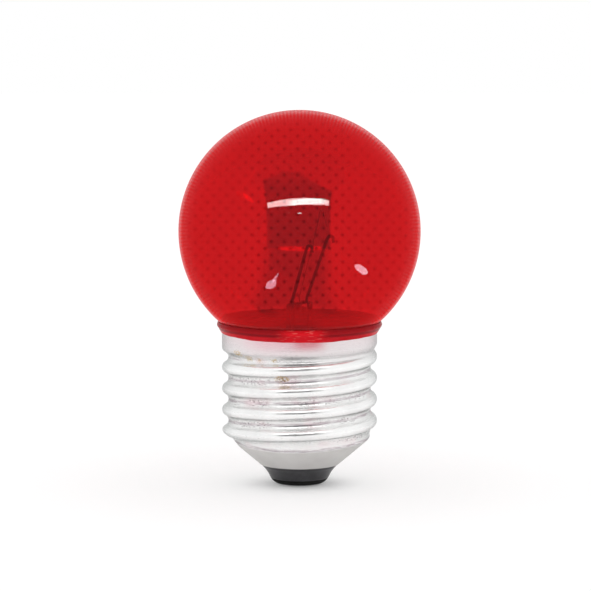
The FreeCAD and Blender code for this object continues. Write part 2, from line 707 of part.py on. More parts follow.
# Side solder: a blob at the back that joins the side lead to the cap's rim
side_blob = doc.addObject("Part::Ellipsoid", "side_blob")
side_blob.setExpression("Radius1", bound("blob_rise"))
side_blob.setExpression("Radius2", bound("blob_reach"))
side_blob.setExpression("Radius3", bound("blob_depth"))
side_blob.Placement = FreeCAD.Placement(
    polar(value("blob_place"), BACK, value("blob_height")), FreeCAD.Rotation())
side_solder = cut_away("side_solder", side_blob, [cap_shell, side_lead, glass_envelope, cement_blank])

basing_cement = cut_away("basing_cement", cement_blank, [side_lead])
lacquer_bead = cut_away("lacquer_bead", bead_blank, [side_blob, side_lead])

doc.recompute()

NODES = (
    glass_envelope,
    lacquer_bead,
    cap_shell,
    cap_insulator,
    contact_plate,
    contact_solder,
    side_solder,
    basing_cement,
    stem_flare,
    exhaust_tube,
    left_seal_wire,
    right_seal_wire,
    left_inner_lead,
    right_inner_lead,
    side_lead,
    centre_lead,
    fuse_wire,
    filament,
    filament_support,
)

for item in doc.Objects:
    if "Invalid" in item.State or "Error" in item.State:
        raise RuntimeError(f"{item.Label} failed: {item.State}")
for node in NODES:
    if node.Shape.isNull() or not node.Shape.isValid():
        raise RuntimeError(f"{node.Label} has no valid shape")

os.makedirs("parts", exist_ok=True)
for node in NODES:
    node.Shape.exportStep(f"parts/{node.Label}.step")
    print(f"{node.Label}: {len(node.Shape.Solids)} solid, {node.Shape.Volume:.2f} mm3")
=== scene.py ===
"""Dresses the small red filament lamp: lacquered glass globe, rolled screw cap and the mount inside."""

import logging
import math
from dataclasses import dataclass
from enum import Enum

import bpy
import numpy as np
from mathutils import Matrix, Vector


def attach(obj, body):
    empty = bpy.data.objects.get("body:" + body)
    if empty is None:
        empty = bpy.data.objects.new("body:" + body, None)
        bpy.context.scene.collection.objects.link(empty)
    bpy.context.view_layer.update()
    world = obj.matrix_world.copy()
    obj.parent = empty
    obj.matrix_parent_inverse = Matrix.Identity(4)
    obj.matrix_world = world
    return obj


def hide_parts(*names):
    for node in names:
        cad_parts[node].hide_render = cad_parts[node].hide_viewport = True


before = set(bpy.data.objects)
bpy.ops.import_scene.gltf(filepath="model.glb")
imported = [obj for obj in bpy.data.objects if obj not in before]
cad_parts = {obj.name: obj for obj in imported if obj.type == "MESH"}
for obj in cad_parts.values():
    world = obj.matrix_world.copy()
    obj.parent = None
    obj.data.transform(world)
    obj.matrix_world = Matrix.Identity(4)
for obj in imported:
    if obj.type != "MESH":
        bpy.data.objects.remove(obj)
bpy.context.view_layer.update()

LOG = logging.getLogger("lamp")
WHITE = (1.0, 1.0, 1.0, 1.0)
MM = 0.001
SHARP_FROM = math.radians(35.0)
ROOT = "root"

Socket = bpy.types.NodeSocket
Value = float | Socket
Colour = tuple | Socket
Shape = tuple[np.ndarray, list]


class Slot(Enum):
    """Names of the record's material slots; the pieces in this script don't read them."""

    RED_GLASS = "red_glass"
    RED_LACQUER = "red_lacquer"
    CAP_ALUMINIUM = "cap_aluminium"
    BLACK_GLASS = "black_glass"
    DARK_CONTACT = "dark_contact"
    SOLDER = "solder"
    CLEAR_GLASS = "clear_glass"
    TUNGSTEN = "tungsten"
    MOLYBDENUM = "molybdenum"


# Surfaces worked out on grids
def arc_points(centre: tuple, radius: float, start: float, end: float, count: int) -> np.ndarray:
    """Points on a circular arc in the plane of radius and height.

    Args:
        centre: The arc's centre as (radius, height) in millimetres.
        radius: The arc's own radius.
        start: The first angle in degrees, 0 being outwards and 90 upwards.
        end: The last angle in degrees.
        count: How many points.

    Returns:
        An array of shape (count, 2).
    """
    angles = np.radians(np.linspace(start, end, count))
    return np.column_stack([centre[0] + radius * np.cos(angles), centre[1] + radius * np.sin(angles)])


def softened(profile: np.ndarray, radius: float, count: int = 5) -> np.ndarray:
    """Rounds the inner corners of a profile with short curves.

    Each corner becomes a quadratic curve that starts and ends at the radius from the corner,
    or at 0.4 of the shorter side beside it.

    Args:
        profile: Corners as (radius, height) rows.
        radius: How far from each corner the curve starts.
        count: Points on each curve.

    Returns:
        The profile with its corners rounded.
    """
    points = [profile[:1]]
    weight = np.linspace(0.0, 1.0, count)[:, None]
    for before, corner, after in zip(profile, profile[1:], profile[2:]):
        sides = [before - corner, after - corner]
        lengths = [float(np.linalg.norm(side)) for side in sides]
        reach = min(radius, 0.4 * min(lengths))
        first, last = (corner + side / length * reach for side, length in zip(sides, lengths))
        points.append((1 - weight) ** 2 * first + 2 * weight * (1 - weight) * corner + weight ** 2 * last)
    points.append(profile[-1:])
    return np.vstack(points)


def softened_ring(corners: np.ndarray, radius: float) -> np.ndarray:
    """Rounds every corner of a closed profile, the first and last ones too."""
    closed = np.vstack([corners, corners[:2]])
    return softened(closed, radius)[1:-1]


def turned(profile: np.ndarray, segments: int) -> Shape:
    """Turns a profile about Z: a point (r, z) becomes (r cos a, r sin a, z) for every angle a.

    A profile that starts and ends on the axis closes in poles, and any other is closed into a ring.

    Args:
        profile: Rows of (radius, height), upwards on the outer side.
        segments: Steps round the axis.

    Returns:
        The vertices and the faces, which point outwards.
    """
    on_axis = 1e-9
    poles = profile[0, 0] < on_axis and profile[-1, 0] < on_axis
    rings = profile[1:-1] if poles else profile
    angles = np.linspace(0.0, 2 * math.pi, segments, endpoint=False)
    around = np.column_stack([np.cos(angles), np.sin(angles)])
    points = np.empty((len(rings), segments, 3))
    points[..., :2] = rings[:, None, :1] * around[None]
    points[..., 2] = rings[:, 1:]
    if poles:
        return with_poles(points, (0.0, 0.0, profile[0, 1]), (0.0, 0.0, profile[-1, 1]))
    return points.reshape(-1, 3), grid_faces(len(rings), segments, wrap_rows=True)


def with_poles(points: np.ndarray, first: tuple, last: tuple) -> Shape:
    """Closes a grid with a pole at each end: four-sided faces between the rows, a fan at each pole.

    Args:
        points: The grid's points (rows, columns, 3), closed along its columns.
        first: The pole before the first row.
        last: The pole after the last row.

    Returns:
        The vertices, the two poles last, and the faces.
    """
    rows, columns, _ = points.shape
    low_pole = rows * columns
    top = low_pole - columns
    near = np.arange(columns)
    far = np.roll(near, -1)
    faces = grid_faces(rows, columns, wrap_rows=False)
    faces += np.column_stack([np.full(columns, low_pole), far, near]).tolist()
    faces += np.column_stack([top + near, top + far, np.full(columns, low_pole + 1)]).tolist()
    return np.vstack([points.reshape(-1, 3), [first], [last]]), faces


def grid_faces(rows: int, columns: int, wrap_rows: bool) -> list:
    """Four-sided faces of a grid that is closed along its columns.

    Args:
        rows: Rows of the grid.
        columns: Points in each row, the last joined to the first.
        wrap_rows: Whether the last row joins the first.

    Returns:
        The faces as lists of four vertex numbers.
    """
    row = np.arange(rows if wrap_rows else rows - 1)
    column = np.arange(columns)
    low, left = np.meshgrid(row, column, indexing="ij")
    high, right = (low + 1) % rows, (left + 1) % columns
    corners = [low * columns + left, low * columns + right, high * columns + right, high * columns + left]
    return np.stack(corners, axis=-1).reshape(-1, 4).tolist()


def tube(path: np.ndarray, radius: float, segments: int) -> Shape:
    """A round tube along a path, with its ends closed by flat caps.

    The ring's axes are carried along by taking the last ring's axis and removing its part along
    the path, so that the tube doesn't twist.

    Args:
        path: Points (n, 3).
        radius: The tube's radius.
        segments: Points round the tube.

    Returns:
        The vertices and the faces.
    """
    ways = directions(path)
    axis = np.cross(ways[0], [0.31, 0.59, 0.74])
    rings = []
    angles = np.linspace(0.0, 2 * math.pi, segments, endpoint=False)
    for point, way in zip(path, ways):
        axis = axis - way * np.dot(axis, way)
        axis /= np.linalg.norm(axis)
        other = np.cross(way, axis)
        rings.append(point + radius * (np.cos(angles)[:, None] * axis + np.sin(angles)[:, None] * other))
    faces = grid_faces(len(path), segments, wrap_rows=False)
    faces.append(list(range(segments))[::-1])
    faces.append([(len(path) - 1) * segments + number for number in range(segments)])
    return np.vstack(rings), faces


def directions(path: np.ndarray) -> np.ndarray:
    """The path's direction at each of its points, with length 1."""
    ways = np.gradient(path, axis=0)
    return ways / np.linalg.norm(ways, axis=1)[:, None]


def lengths_along(path: np.ndarray) -> np.ndarray:
    """How far along the path each of its points lies."""
    return np.concatenate([[0.0], np.cumsum(np.linalg.norm(np.diff(path, axis=0), axis=1))])


def smooth_path(corners: np.ndarray, step: float) -> np.ndarray:
    """A smooth curve near the corners: the cubic B-spline with its end corners tripled.

    Args:
        corners: Control points (n, 3).
        step: About how far apart the points of the curve are.

    Returns:
        Points evenly spaced along the curve.
    """
    knots = np.vstack([corners[:1], corners[:1], corners, corners[-1:], corners[-1:]])
    share = np.linspace(0.0, 1.0, 24, endpoint=False)[:, None]
    pieces = []
    for p0, p1, p2, p3 in zip(knots, knots[1:], knots[2:], knots[3:]):
        pieces.append((
            (1 - share) ** 3 * p0
            + (3 * share ** 3 - 6 * share ** 2 + 4) * p1
            + (-3 * share ** 3 + 3 * share ** 2 + 3 * share + 1) * p2
            + share ** 3 * p3
        ) / 6)
    line = np.vstack(pieces + [corners[-1:]])
    lengths = lengths_along(line)
    places = np.linspace(0.0, lengths[-1], max(int(lengths[-1] / step), 4))
    return np.column_stack([np.interp(places, lengths, line[:, axis]) for axis in range(3)])


def smooth_step(low: float, high: float, place: np.ndarray) -> np.ndarray:
    """Rises from 0 at low to 1 at high by the cubic 3s^2 - 2s^3, level at both ends."""
    share = np.clip((place - low) / (high - low), 0.0, 1.0)
    return share * share * (3 - 2 * share)


def add_piece(name: str, shape: Shape, material: bpy.types.Material, nodes: tuple,
              marks: dict | None = None) -> bpy.types.Object:
    """Makes a piece of the object from millimetre geometry, puts it on the root body and hides the CAD
    nodes it stands for.

    Args:
        name: The piece's name.
        shape: Its vertices in millimetres and its faces.
        material: Its material.
        nodes: The CAD nodes that it stands for.
        marks: Named values for each vertex that the material reads.

    Returns:
        The new object, riding on the root body.
    """
    vertices, faces = shape
    mesh = bpy.data.meshes.new(name)
    mesh.from_pydata((np.asarray(vertices) * MM).tolist(), [], faces)
    mesh.polygons.foreach_set("use_smooth", np.ones(len(mesh.polygons), dtype=bool))
    mesh.set_sharp_from_angle(angle=SHARP_FROM)
    for mark, values in (marks or {}).items():
        layer = mesh.attributes.new(mark, "FLOAT", "POINT")
        layer.data.foreach_set("value", np.ascontiguousarray(values, dtype=np.float32))
    mesh.materials.append(material)
    mesh.update()
    piece = bpy.data.objects.new(name, mesh)
    bpy.context.scene.collection.objects.link(piece)
    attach(piece, ROOT)
    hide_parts(*nodes)
    LOG.info("%s: %d faces for %s", name, len(mesh.polygons), ", ".join(nodes))
    return piece


def dress_node(name: str, material: bpy.types.Material) -> None:
    """Gives a CAD node its finish and leaves its shape as it is.

    Args:
        name: The node's name.
        material: Its material.
    """
    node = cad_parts[name]
    if not node.material_slots:
        node.data.materials.append(material)
    for place in node.material_slots:
        place.material = material
    LOG.info("%s: kept, with %s", name, material.name)


# Building blocks of the shaders
class Shader:
    """A material or world node tree with short calls for the nodes that it needs."""

    def __init__(self, tree: bpy.types.NodeTree) -> None:
        """Starts on an empty tree."""
        self.tree = tree
        tree.nodes.clear()

    def node(self, kind: str, inputs: dict | None = None, **settings: object) -> bpy.types.Node:
        """Adds a node.

        Args:
            kind: The node's type name.
            inputs: Socket name or number to a value or to another node's output.
            settings: Attributes of the node, set before its inputs.

        Returns:
            The node.
        """
        made = self.tree.nodes.new(kind)
        for key, setting in settings.items():
            setattr(made, key, setting)
        for key, source in (inputs or {}).items():
            if isinstance(source, Socket):
                self.tree.links.new(source, made.inputs[key])
            else:
                made.inputs[key].default_value = source
        return made

    def maths(self, operation: str, *operands: Value) -> Socket:
        """The result of a Math node on one to three numbers or sockets."""
        return self.node("ShaderNodeMath", dict(enumerate(operands)), operation=operation).outputs[0]

    def times(self, first: Value, second: Value) -> Socket:
        """The product of two values."""
        return self.maths("MULTIPLY", first, second)

    def line(self, place: Value, slope: Value, start: Value) -> Socket:
        """The value slope times place plus start."""
        return self.maths("MULTIPLY_ADD", place, slope, start)

    def length(self, first: Value, second: Value) -> Socket:
        """The square root of the sum of two squares."""
        return self.maths("SQRT", self.line(first, first, self.times(second, second)))

    def ramp(self, low: float, high: float, place: Value) -> Socket:
        """A mask that rises smoothly from 0 at low to 1 at high.

        Args:
            low: The place where it is 0.
            high: The place where it is 1, above or below low.
            place: The value that it follows.

        Returns:
            The mask.
        """
        made = self.node(
            "ShaderNodeMapRange",
            {"Value": place, "From Min": low, "From Max": high, "To Min": 0.0, "To Max": 1.0},
            interpolation_type="SMOOTHSTEP",
        )
        return made.outputs["Result"]

    def blend(self, amount: Value, first: Colour, second: Colour) -> Socket:
        """A colour between two others.

        Args:
            amount: 0 for the first and 1 for the second.
            first: The first colour.
            second: The second colour.

        Returns:
            The colour.
        """
        sources = {0: amount, 6: first, 7: second}
        return self.node("ShaderNodeMix", sources, data_type="RGBA").outputs[2]

    def colour(self, red: Value, green: Value, blue: Value) -> Socket:
        """A colour put together from its three parts."""
        return self.node("ShaderNodeCombineColor", {0: red, 1: green, 2: blue}).outputs[0]

    def plus(self, first: Colour, second: Colour) -> Socket:
        """The sum of two colours, without a limit at 1."""
        return self.node("ShaderNodeVectorMath", {0: first, 1: second}, operation="ADD").outputs[0]

    def dot(self, way: Socket, axis: Vector) -> Socket:
        """The dot product of a direction and a fixed axis."""
        made = self.node("ShaderNodeVectorMath", {0: way, 1: tuple(axis)}, operation="DOT_PRODUCT")
        return made.outputs["Value"]

    def noise(self, place: Socket, scale: float, detail: float = 2.0, roughness: float = 0.5) -> Socket:
        """Soft noise between 0 and 1.

        Args:
            place: Where it is read, in metres.
            scale: Its scale in turns to a metre.
            detail: How many finer layers it has.
            roughness: How strong the finer layers are.

        Returns:
            The noise.
        """
        inputs = {"Vector": place, "Scale": scale, "Detail": detail, "Roughness": roughness}
        return self.node("ShaderNodeTexNoise", inputs).outputs["Fac"]

    def bump(self, height: Socket, distance: float, strength: float) -> Socket:
        """A normal tilted by relief.

        Args:
            height: The relief, about 0 to 1.
            distance: What a height of 1 stands for, in metres.
            strength: How much of the tilt is used.

        Returns:
            The normal.
        """
        inputs = {"Height": height, "Distance": distance, "Strength": strength}
        return self.node("ShaderNodeBump", inputs).outputs["Normal"]

    def attribute(self, name: str) -> Socket:
        """A named value of the mesh."""
        return self.node("ShaderNodeAttribute", attribute_name=name).outputs["Fac"]

    def place(self) -> Socket:
        """The object coordinates, in metres."""
        return self.node("ShaderNodeTexCoord").outputs["Object"]

    def parts(self, vector: Socket) -> tuple:
        """The three parts of a vector."""
        return tuple(self.node("ShaderNodeSeparateXYZ", {0: vector}).outputs)

    def stretched(self, place: Socket, scale: tuple) -> Socket:
        """A place with its three parts multiplied by the scale."""
        return self.node("ShaderNodeMapping", {"Vector": place, "Scale": scale}).outputs[0]

    def millimetres(self, place: Socket) -> tuple:
        """The three parts of a place, in millimetres: to the right, to the back and upwards."""
        return tuple(self.times(part, 1 / MM) for part in self.parts(place))

    def distance(self, place: Socket, point: tuple) -> Socket:
        """How far a place lies from a point.

        Args:
            place: The place, in metres.
            point: The point, in millimetres.

        Returns:
            The distance in millimetres.
        """
        metres = tuple(part * MM for part in point)
        made = self.node("ShaderNodeVectorMath", {0: place, 1: metres}, operation="DISTANCE")
        return self.times(made.outputs["Value"], 1 / MM)

    def group(self, tree: bpy.types.NodeTree, inputs: dict) -> bpy.types.Node:
        """Places a shared group with its own values."""
        return self.node("ShaderNodeGroup", inputs, node_tree=tree)

    def mirrored_by_glass(self) -> Socket:
        """A mask of the rays that polished glass has mirrored.

        Returns:
            1 for such a ray and 0 for any other.
        """
        path = self.node("ShaderNodeLightPath")
        mirrored = self.maths("GREATER_THAN", path.outputs["Glossy Depth"], 0.5)
        return self.times(mirrored, path.outputs["Is Singular Ray"])

    def finish(self, shader: bpy.types.Node, output: str = "ShaderNodeOutputMaterial") -> None:
        """Connects the last shader to the output."""
        end = self.tree.nodes.new(output)
        self.tree.links.new(shader.outputs[0], end.inputs["Surface"])


def new_material(name: str) -> tuple[bpy.types.Material, Shader]:
    """Makes an empty node material.

    Args:
        name: The material's name.

    Returns:
        The material and its shader.
    """
    material = bpy.data.materials.new(name)
    material.use_nodes = True
    return material, Shader(material.node_tree)


def new_group(name: str, inputs: dict, output: str) -> tuple[Shader, dict, Socket]:
    """Makes an empty shader group that puts out one value.

    Args:
        name: The group's name.
        inputs: Input names to their socket type and their value, or None.
        output: The output's name.

    Returns:
        The group's shader, its inputs by name, and the socket that takes its result.
    """
    tree = bpy.data.node_groups.new(name, "ShaderNodeTree")
    shader = Shader(tree)
    for key, (kind, start) in inputs.items():
        made = tree.interface.new_socket(name=key, in_out="INPUT", socket_type=kind)
        if start is not None:
            made.default_value = start
    tree.interface.new_socket(name=output, in_out="OUTPUT", socket_type="NodeSocketFloat")
    entry = tree.nodes.new("NodeGroupInput")
    end = tree.nodes.new("NodeGroupOutput")
    return shader, {key: entry.outputs[key] for key in inputs}, end.inputs[output]


def specks_group() -> bpy.types.NodeTree:
    """Makes the shared group of scattered specks.

    Space is cut into cells round scattered points. A share of the cells holds a speck, which is
    the part of the cell that lies nearer to its point than a size that noise makes ragged.

    Returns:
        The group, with the inputs Place, Scale, Share and Size and the output Mask.
    """
    shader, entry, end = new_group("specks", {
        "Place": ("NodeSocketVector", None),
        "Scale": ("NodeSocketFloat", 2000.0),
        "Share": ("NodeSocketFloat", 0.2),
        "Size": ("NodeSocketFloat", 0.3),
    }, "Mask")
    ragged = shader.noise(entry["Place"], 6000.0)
    cells = shader.node("ShaderNodeTexVoronoi", {"Vector": entry["Place"], "Scale": entry["Scale"]})
    chance = shader.node("ShaderNodeSeparateColor", {"Color": cells.outputs["Color"]}).outputs["Red"]
    chosen = shader.maths("LESS_THAN", chance, entry["Share"])
    reach = shader.times(shader.times(ragged, entry["Size"]), 2.0)
    inside = shader.ramp(-0.04, 0.06, shader.maths("SUBTRACT", reach, cells.outputs["Distance"]))
    shader.tree.links.new(shader.times(inside, chosen), end)
    return shader.tree


# Finishes
@dataclass(frozen=True)
class LacqueredGlass:
    """Blown glass under a transparent red lacquer, with a faint lattice of darker dots.

    Where the glass is seen at a shallow angle, the lacquer shows fine hatching with a pale painted sheen.
    Lengths are in millimetres, and reaches on the ball are shares of its radius.
    """

    colour: tuple = (0.755, 0.071, 0.083, 1.0)
    deep: tuple = (0.69, 0.064, 0.077, 1.0)
    dot: tuple = (0.06, 0.02, 0.03, 1.0)
    # painted sheen: the pale colour of the hatching where the glass is seen at a shallow angle
    hatch_sheen: tuple = (0.68, 0.45, 0.47, 1.0)
    # painted light: brighter red for the band at the foot of the ball, where it mirrors the bead's dark top
    painted_bright: tuple = (1.0, 0.13, 0.14, 1.0)
    bare: tuple = (0.97, 0.98, 0.975, 1.0)
    sheen: tuple = (1.0, 0.10, 0.12, 1.0)
    refraction: float = 2.2
    clearness: float = 0.88
    globe_radius: float = 20.45
    globe_height: float = 43.06
    view_tilt: float = 6.4
    film_depth: tuple = (0.35, 0.25)
    mottling: float = 0.25
    ripple: float = 0.004
    lacquer_edge: float = 24.5
    edge_blur: float = 0.2
    painted_bright_band: tuple = (-0.715, -0.728)
    dot_pitch: float = 2.12
    dot_rows: float = 1.095
    dot_phase: tuple = (0.18, -0.11)
    dot_radius: float = 0.44
    dot_core: float = 0.25
    dot_depth: float = 0.50
    dot_middle: tuple = (9.5, 6.5)
    dot_outer_share: float = 0.62
    dot_fade: tuple = (-0.30, 1.1)
    dot_front: tuple = (-0.26, -0.46)
    dot_foot: tuple = (-0.70, -0.60)
    hatch_lines: int = 205
    hatch_reach: tuple = (0.88, 1.0)
    hatch_foot: tuple = (-0.95, -0.78)
    hatch_lift: tuple = (0.30, 0.74)
    hatch_wave: tuple = (0.96, 0.18)
    shallow_from_air: tuple = (0.38, 0.54)
    shallow_from_glass: tuple = (0.058, 0.086)

    def dots(self, shader: Shader, east: Socket, north: Socket, above: Socket) -> Socket:
        """How strongly the lattice of dots covers the globe.

        The dots lie on a flat lattice that is laid through the globe from the front: even rows,
        even pitch in a row, and every other row shifted by half a dot. A dot falls from its full
        depth at its core to 0 at its radius. The lattice weakens upwards and beside the middle,
        and fades out towards the sides, the back and the neck.

        Args:
            shader: The material's shader.
            east: The place to the right of the axis as seen from the front.
            north: The place behind the axis.
            above: The place above the globe's centre as seen from the front.

        Returns:
            The mask.
        """
        rows = shader.line(above, 1 / self.dot_rows, self.dot_phase[1])
        row = shader.maths("ROUND", rows)
        shift = shader.line(shader.maths("PINGPONG", row, 1.0), 0.5, self.dot_phase[0])
        along = shader.line(east, 1 / self.dot_pitch, shift)
        beside = shader.times(shader.maths("SUBTRACT", along, shader.maths("ROUND", along)), self.dot_pitch)
        over = shader.times(shader.maths("SUBTRACT", rows, row), self.dot_rows)
        core = self.dot_radius * self.dot_core
        dot = shader.ramp(self.dot_radius, core, shader.length(beside, over))
        front = [edge * self.globe_radius for edge in self.dot_front]
        foot = [edge * self.globe_radius for edge in self.dot_foot]
        shown = shader.times(shader.ramp(*front, north), shader.ramp(*foot, above))
        middle = shader.ramp(*self.dot_middle, shader.maths("ABSOLUTE", east))
        slope, start = self.dot_fade
        depth = shader.line(above, slope / self.globe_radius, start)
        depth = shader.times(depth, shader.line(middle, 1.0 - self.dot_outer_share, self.dot_outer_share))
        return shader.times(shader.times(dot, shown), shader.times(depth, self.dot_depth))

    def hatching(self, shader: Shader, east: Socket, above: Socket) -> Socket:
        """How strongly the hatching, painted pale as a sheen, covers the globe's edge as seen from the
        front.

        The hatches are the waves of a sine of the angle round the globe's centre. They grow
        towards the edge, are stronger above than below, and end above the neck.

        Args:
            shader: The material's shader.
            east: The place to the right of the axis as seen from the front.
            above: The place above the globe's centre as seen from the front.

        Returns:
            The mask, which is 0 where the glass is seen squarely.
        """
        turn = shader.maths("ARCTAN2", above, east)
        waves = shader.maths("SINE", shader.times(turn, float(self.hatch_lines)))
        away = shader.maths("DIVIDE", shader.length(east, above), self.globe_radius)
        lift = shader.maths("DIVIDE", above, self.globe_radius)
        rim = shader.times(shader.ramp(*self.hatch_reach, away), shader.ramp(*self.hatch_foot, lift))
        rim = shader.times(rim, shader.line(lift, *self.hatch_lift))
        rim = shader.times(rim, shader.line(shader.ramp(-0.35, 0.35, waves), *self.hatch_wave))
        return shader.times(rim, self.shallow(shader))

    def shallow(self, shader: Shader) -> Socket:
        """Where a ray meets the glass at a shallow angle.

        From inside the glass the ray is steeper, because it was bent on its way in, so the limits
        there are those of the bent ray.

        Args:
            shader: The material's shader.

        Returns:
            The mask: 1 at a shallow angle and 0 where the ray meets the glass squarely.
        """
        facing = shader.node("ShaderNodeLayerWeight", {"Blend": 0.5}).outputs["Facing"]
        within = shader.node("ShaderNodeNewGeometry").outputs["Backfacing"]
        from_air = shader.ramp(*self.shallow_from_air, facing)
        from_glass = shader.ramp(*self.shallow_from_glass, facing)
        return shader.line(shader.maths("SUBTRACT", from_glass, from_air), within, from_air)

    def material(self) -> bpy.types.Material:
        """Builds the glass.

        Returns:
            The material: bare glass up to the lacquer's edge, and above it the red film with its
            mottling, dots, hatching with its painted sheen, and a painted bright band at the foot of the
            ball.
        """
        material, shader = new_material("red_lacquered_glass")
        place = shader.place()
        east, north, height = shader.millimetres(place)
        up = shader.maths("SUBTRACT", height, self.globe_height)
        tilt = math.radians(self.view_tilt)
        above = shader.line(up, math.cos(tilt), shader.times(north, math.sin(tilt)))
        away = shader.distance(place, (0.0, 0.0, self.globe_height))
        outer = shader.ramp(*(self.globe_radius - depth for depth in self.film_depth), away)
        mottled = shader.times(shader.ramp(0.3, 0.75, shader.noise(place, 90.0)), self.mottling)
        film = shader.blend(mottled, self.colour, self.deep)
        film = shader.blend(shader.times(self.dots(shader, east, north, above), outer), film, self.dot)
        # painted sheen: the hatching is laid pale where the glass is seen at a shallow angle
        film = shader.blend(self.hatching(shader, east, above), film, self.hatch_sheen)
        # painted light: a brighter band at the foot of the ball, over the dark line where it mirrors the
        # bead
        band = shader.ramp(*(edge * self.globe_radius for edge in self.painted_bright_band), up)
        film = shader.blend(shader.times(band, outer), film, self.painted_bright)
        lacquered = shader.ramp(
            self.lacquer_edge - self.edge_blur, self.lacquer_edge + self.edge_blur, height)
        film = shader.blend(lacquered, self.bare, film)
        shader.finish(shader.node("ShaderNodeBsdfPrincipled", {
            "Base Color": film,
            "Roughness": 0.0,
            "IOR": self.refraction,
            "Transmission Weight": self.clearness,
            "Specular Tint": self.sheen,
            "Normal": shader.bump(shader.noise(place, 700.0), self.ripple * MM, 0.4),
        }))
        return material


@dataclass(frozen=True)
class LacquerBead:
    """The thick red lacquer that closes the joint at the cap's rim.

    Lengths are in millimetres. A cover is how strongly one colour is laid over the others.
    """

    colour: tuple = (0.60, 0.014, 0.022, 1.0)
    deep: tuple = (0.50, 0.012, 0.018, 1.0)
    # painted shade: the darker red laid over the bead's top, under the ball
    shaded: tuple = (0.30, 0.010, 0.014, 1.0)
    # painted shade: the dark line just above the bright lip
    line: tuple = (0.20, 0.008, 0.012, 1.0)
    # painted light: the bright red of the middle of the bead's front
    painted_bright: tuple = (0.74, 0.012, 0.020, 1.0)
    # painted highlight: pale streaks in the bright middle of the front
    glint: tuple = (1.0, 0.30, 0.26, 1.0)
    # painted light: the pale back of the bead where it touches the globe, seen through the glass
    painted_backlight: tuple = (0.90, 0.55, 0.52, 1.0)
    # painted reflection: the red the bead shows where glass mirrors it
    mirrored: tuple = (1.0, 0.10, 0.11, 1.0)
    sheen: tuple = (1.0, 0.3, 0.3, 1.0)
    globe_radius: float = 20.45
    globe_height: float = 43.06
    shade_edge: tuple = (26.35, 26.65)
    shade_line_foot: tuple = (26.55, 26.70)
    shade_line_top: tuple = (27.05, 26.90)
    middle_east: float = 0.5
    middle_reach: tuple = (5.6, 2.4)
    backlit_depth: tuple = (0.12, 0.04)
    backlit_top: tuple = (27.8, 27.6)
    shade_cover: float = 0.9
    shade_line_cover: float = 0.7
    painted_bright_cover: float = 0.85
    painted_glint_cover: float = 0.35
    glow_reach: float = 0.8
    relief: float = 0.08

    def middle(self, shader: Shader, place: Socket, east: Socket, north: Socket) -> Socket:
        """Where painted light brightens the middle of the bead's front.

        Args:
            shader: The material's shader.
            place: The place, in metres.
            east: Its part to the right, in millimetres.
            north: Its part to the back, in millimetres.

        Returns:
            The mask, with an uneven edge.
        """
        beside = shader.maths("ABSOLUTE", shader.maths("SUBTRACT", east, self.middle_east))
        beside = shader.line(shader.noise(place, 900.0), 1.2, beside)
        return shader.times(shader.ramp(*self.middle_reach, beside), shader.ramp(0.0, -2.0, north))

    def material(self) -> bpy.types.Material:
        """Builds the lacquer.

        Returns:
            The material: darker where it is thick, with painted shade over its top and a painted
            dark line, a painted bright middle with painted highlight streaks at the front, painted
            light on its back where it touches the globe, and a painted red reflection where glass mirrors
            it.
        """
        material, shader = new_material("red_lacquer_bead")
        place = shader.place()
        east, north, height = shader.millimetres(place)
        runs = shader.noise(place, 260.0, 3.0)
        fine = shader.noise(place, 1800.0)
        colour = shader.blend(shader.ramp(0.35, 0.7, runs), self.colour, self.deep)
        # painted shade over the bead's upper part
        shade = shader.ramp(*self.shade_edge, height)
        colour = shader.blend(shader.times(shade, self.shade_cover), colour, self.shaded)
        # painted shade: a dark line just above the bright lip
        line = shader.times(shader.ramp(*self.shade_line_foot, height), shader.ramp(*self.shade_line_top, height))
        colour = shader.blend(shader.times(line, self.shade_line_cover), colour, self.line)
        # painted light: brighter red in the middle of the front
        middle = self.middle(shader, place, east, north)
        colour = shader.blend(shader.times(middle, self.painted_bright_cover), colour, self.painted_bright)
        # painted highlight: pale streaks across the bright middle
        flat = shader.stretched(place, (0.35, 0.35, 2.6))
        painted_streaks = shader.ramp(0.60, 0.68, shader.noise(flat, 2100.0, 1.0))
        painted_streaks = shader.times(painted_streaks, shader.times(middle, self.painted_glint_cover))
        colour = shader.blend(painted_streaks, colour, self.glint)
        # painted light: the bead's back is made pale where it touches the globe
        away = shader.distance(place, (0.0, 0.0, self.globe_height))
        touching = shader.ramp(*(self.globe_radius + depth for depth in self.backlit_depth), away)
        backlit = shader.times(touching, shader.ramp(*self.backlit_top, height))
        colour = shader.blend(backlit, colour, self.painted_backlight)
        # painted reflection: red where the glass mirrors the bead
        colour = shader.blend(shader.mirrored_by_glass(), colour, self.mirrored)
        shader.finish(shader.node("ShaderNodeBsdfPrincipled", {
            "Base Color": colour,
            "Roughness": 0.25,
            "Specular IOR Level": 0.02,
            "Specular Tint": self.sheen,
            "Subsurface Weight": 0.5,
            "Subsurface Radius": (1.0, 0.08, 0.08),
            "Subsurface Scale": self.glow_reach * MM,
            "Normal": shader.bump(shader.line(fine, 0.15, runs), self.relief * MM, 0.5),
        }))
        return material


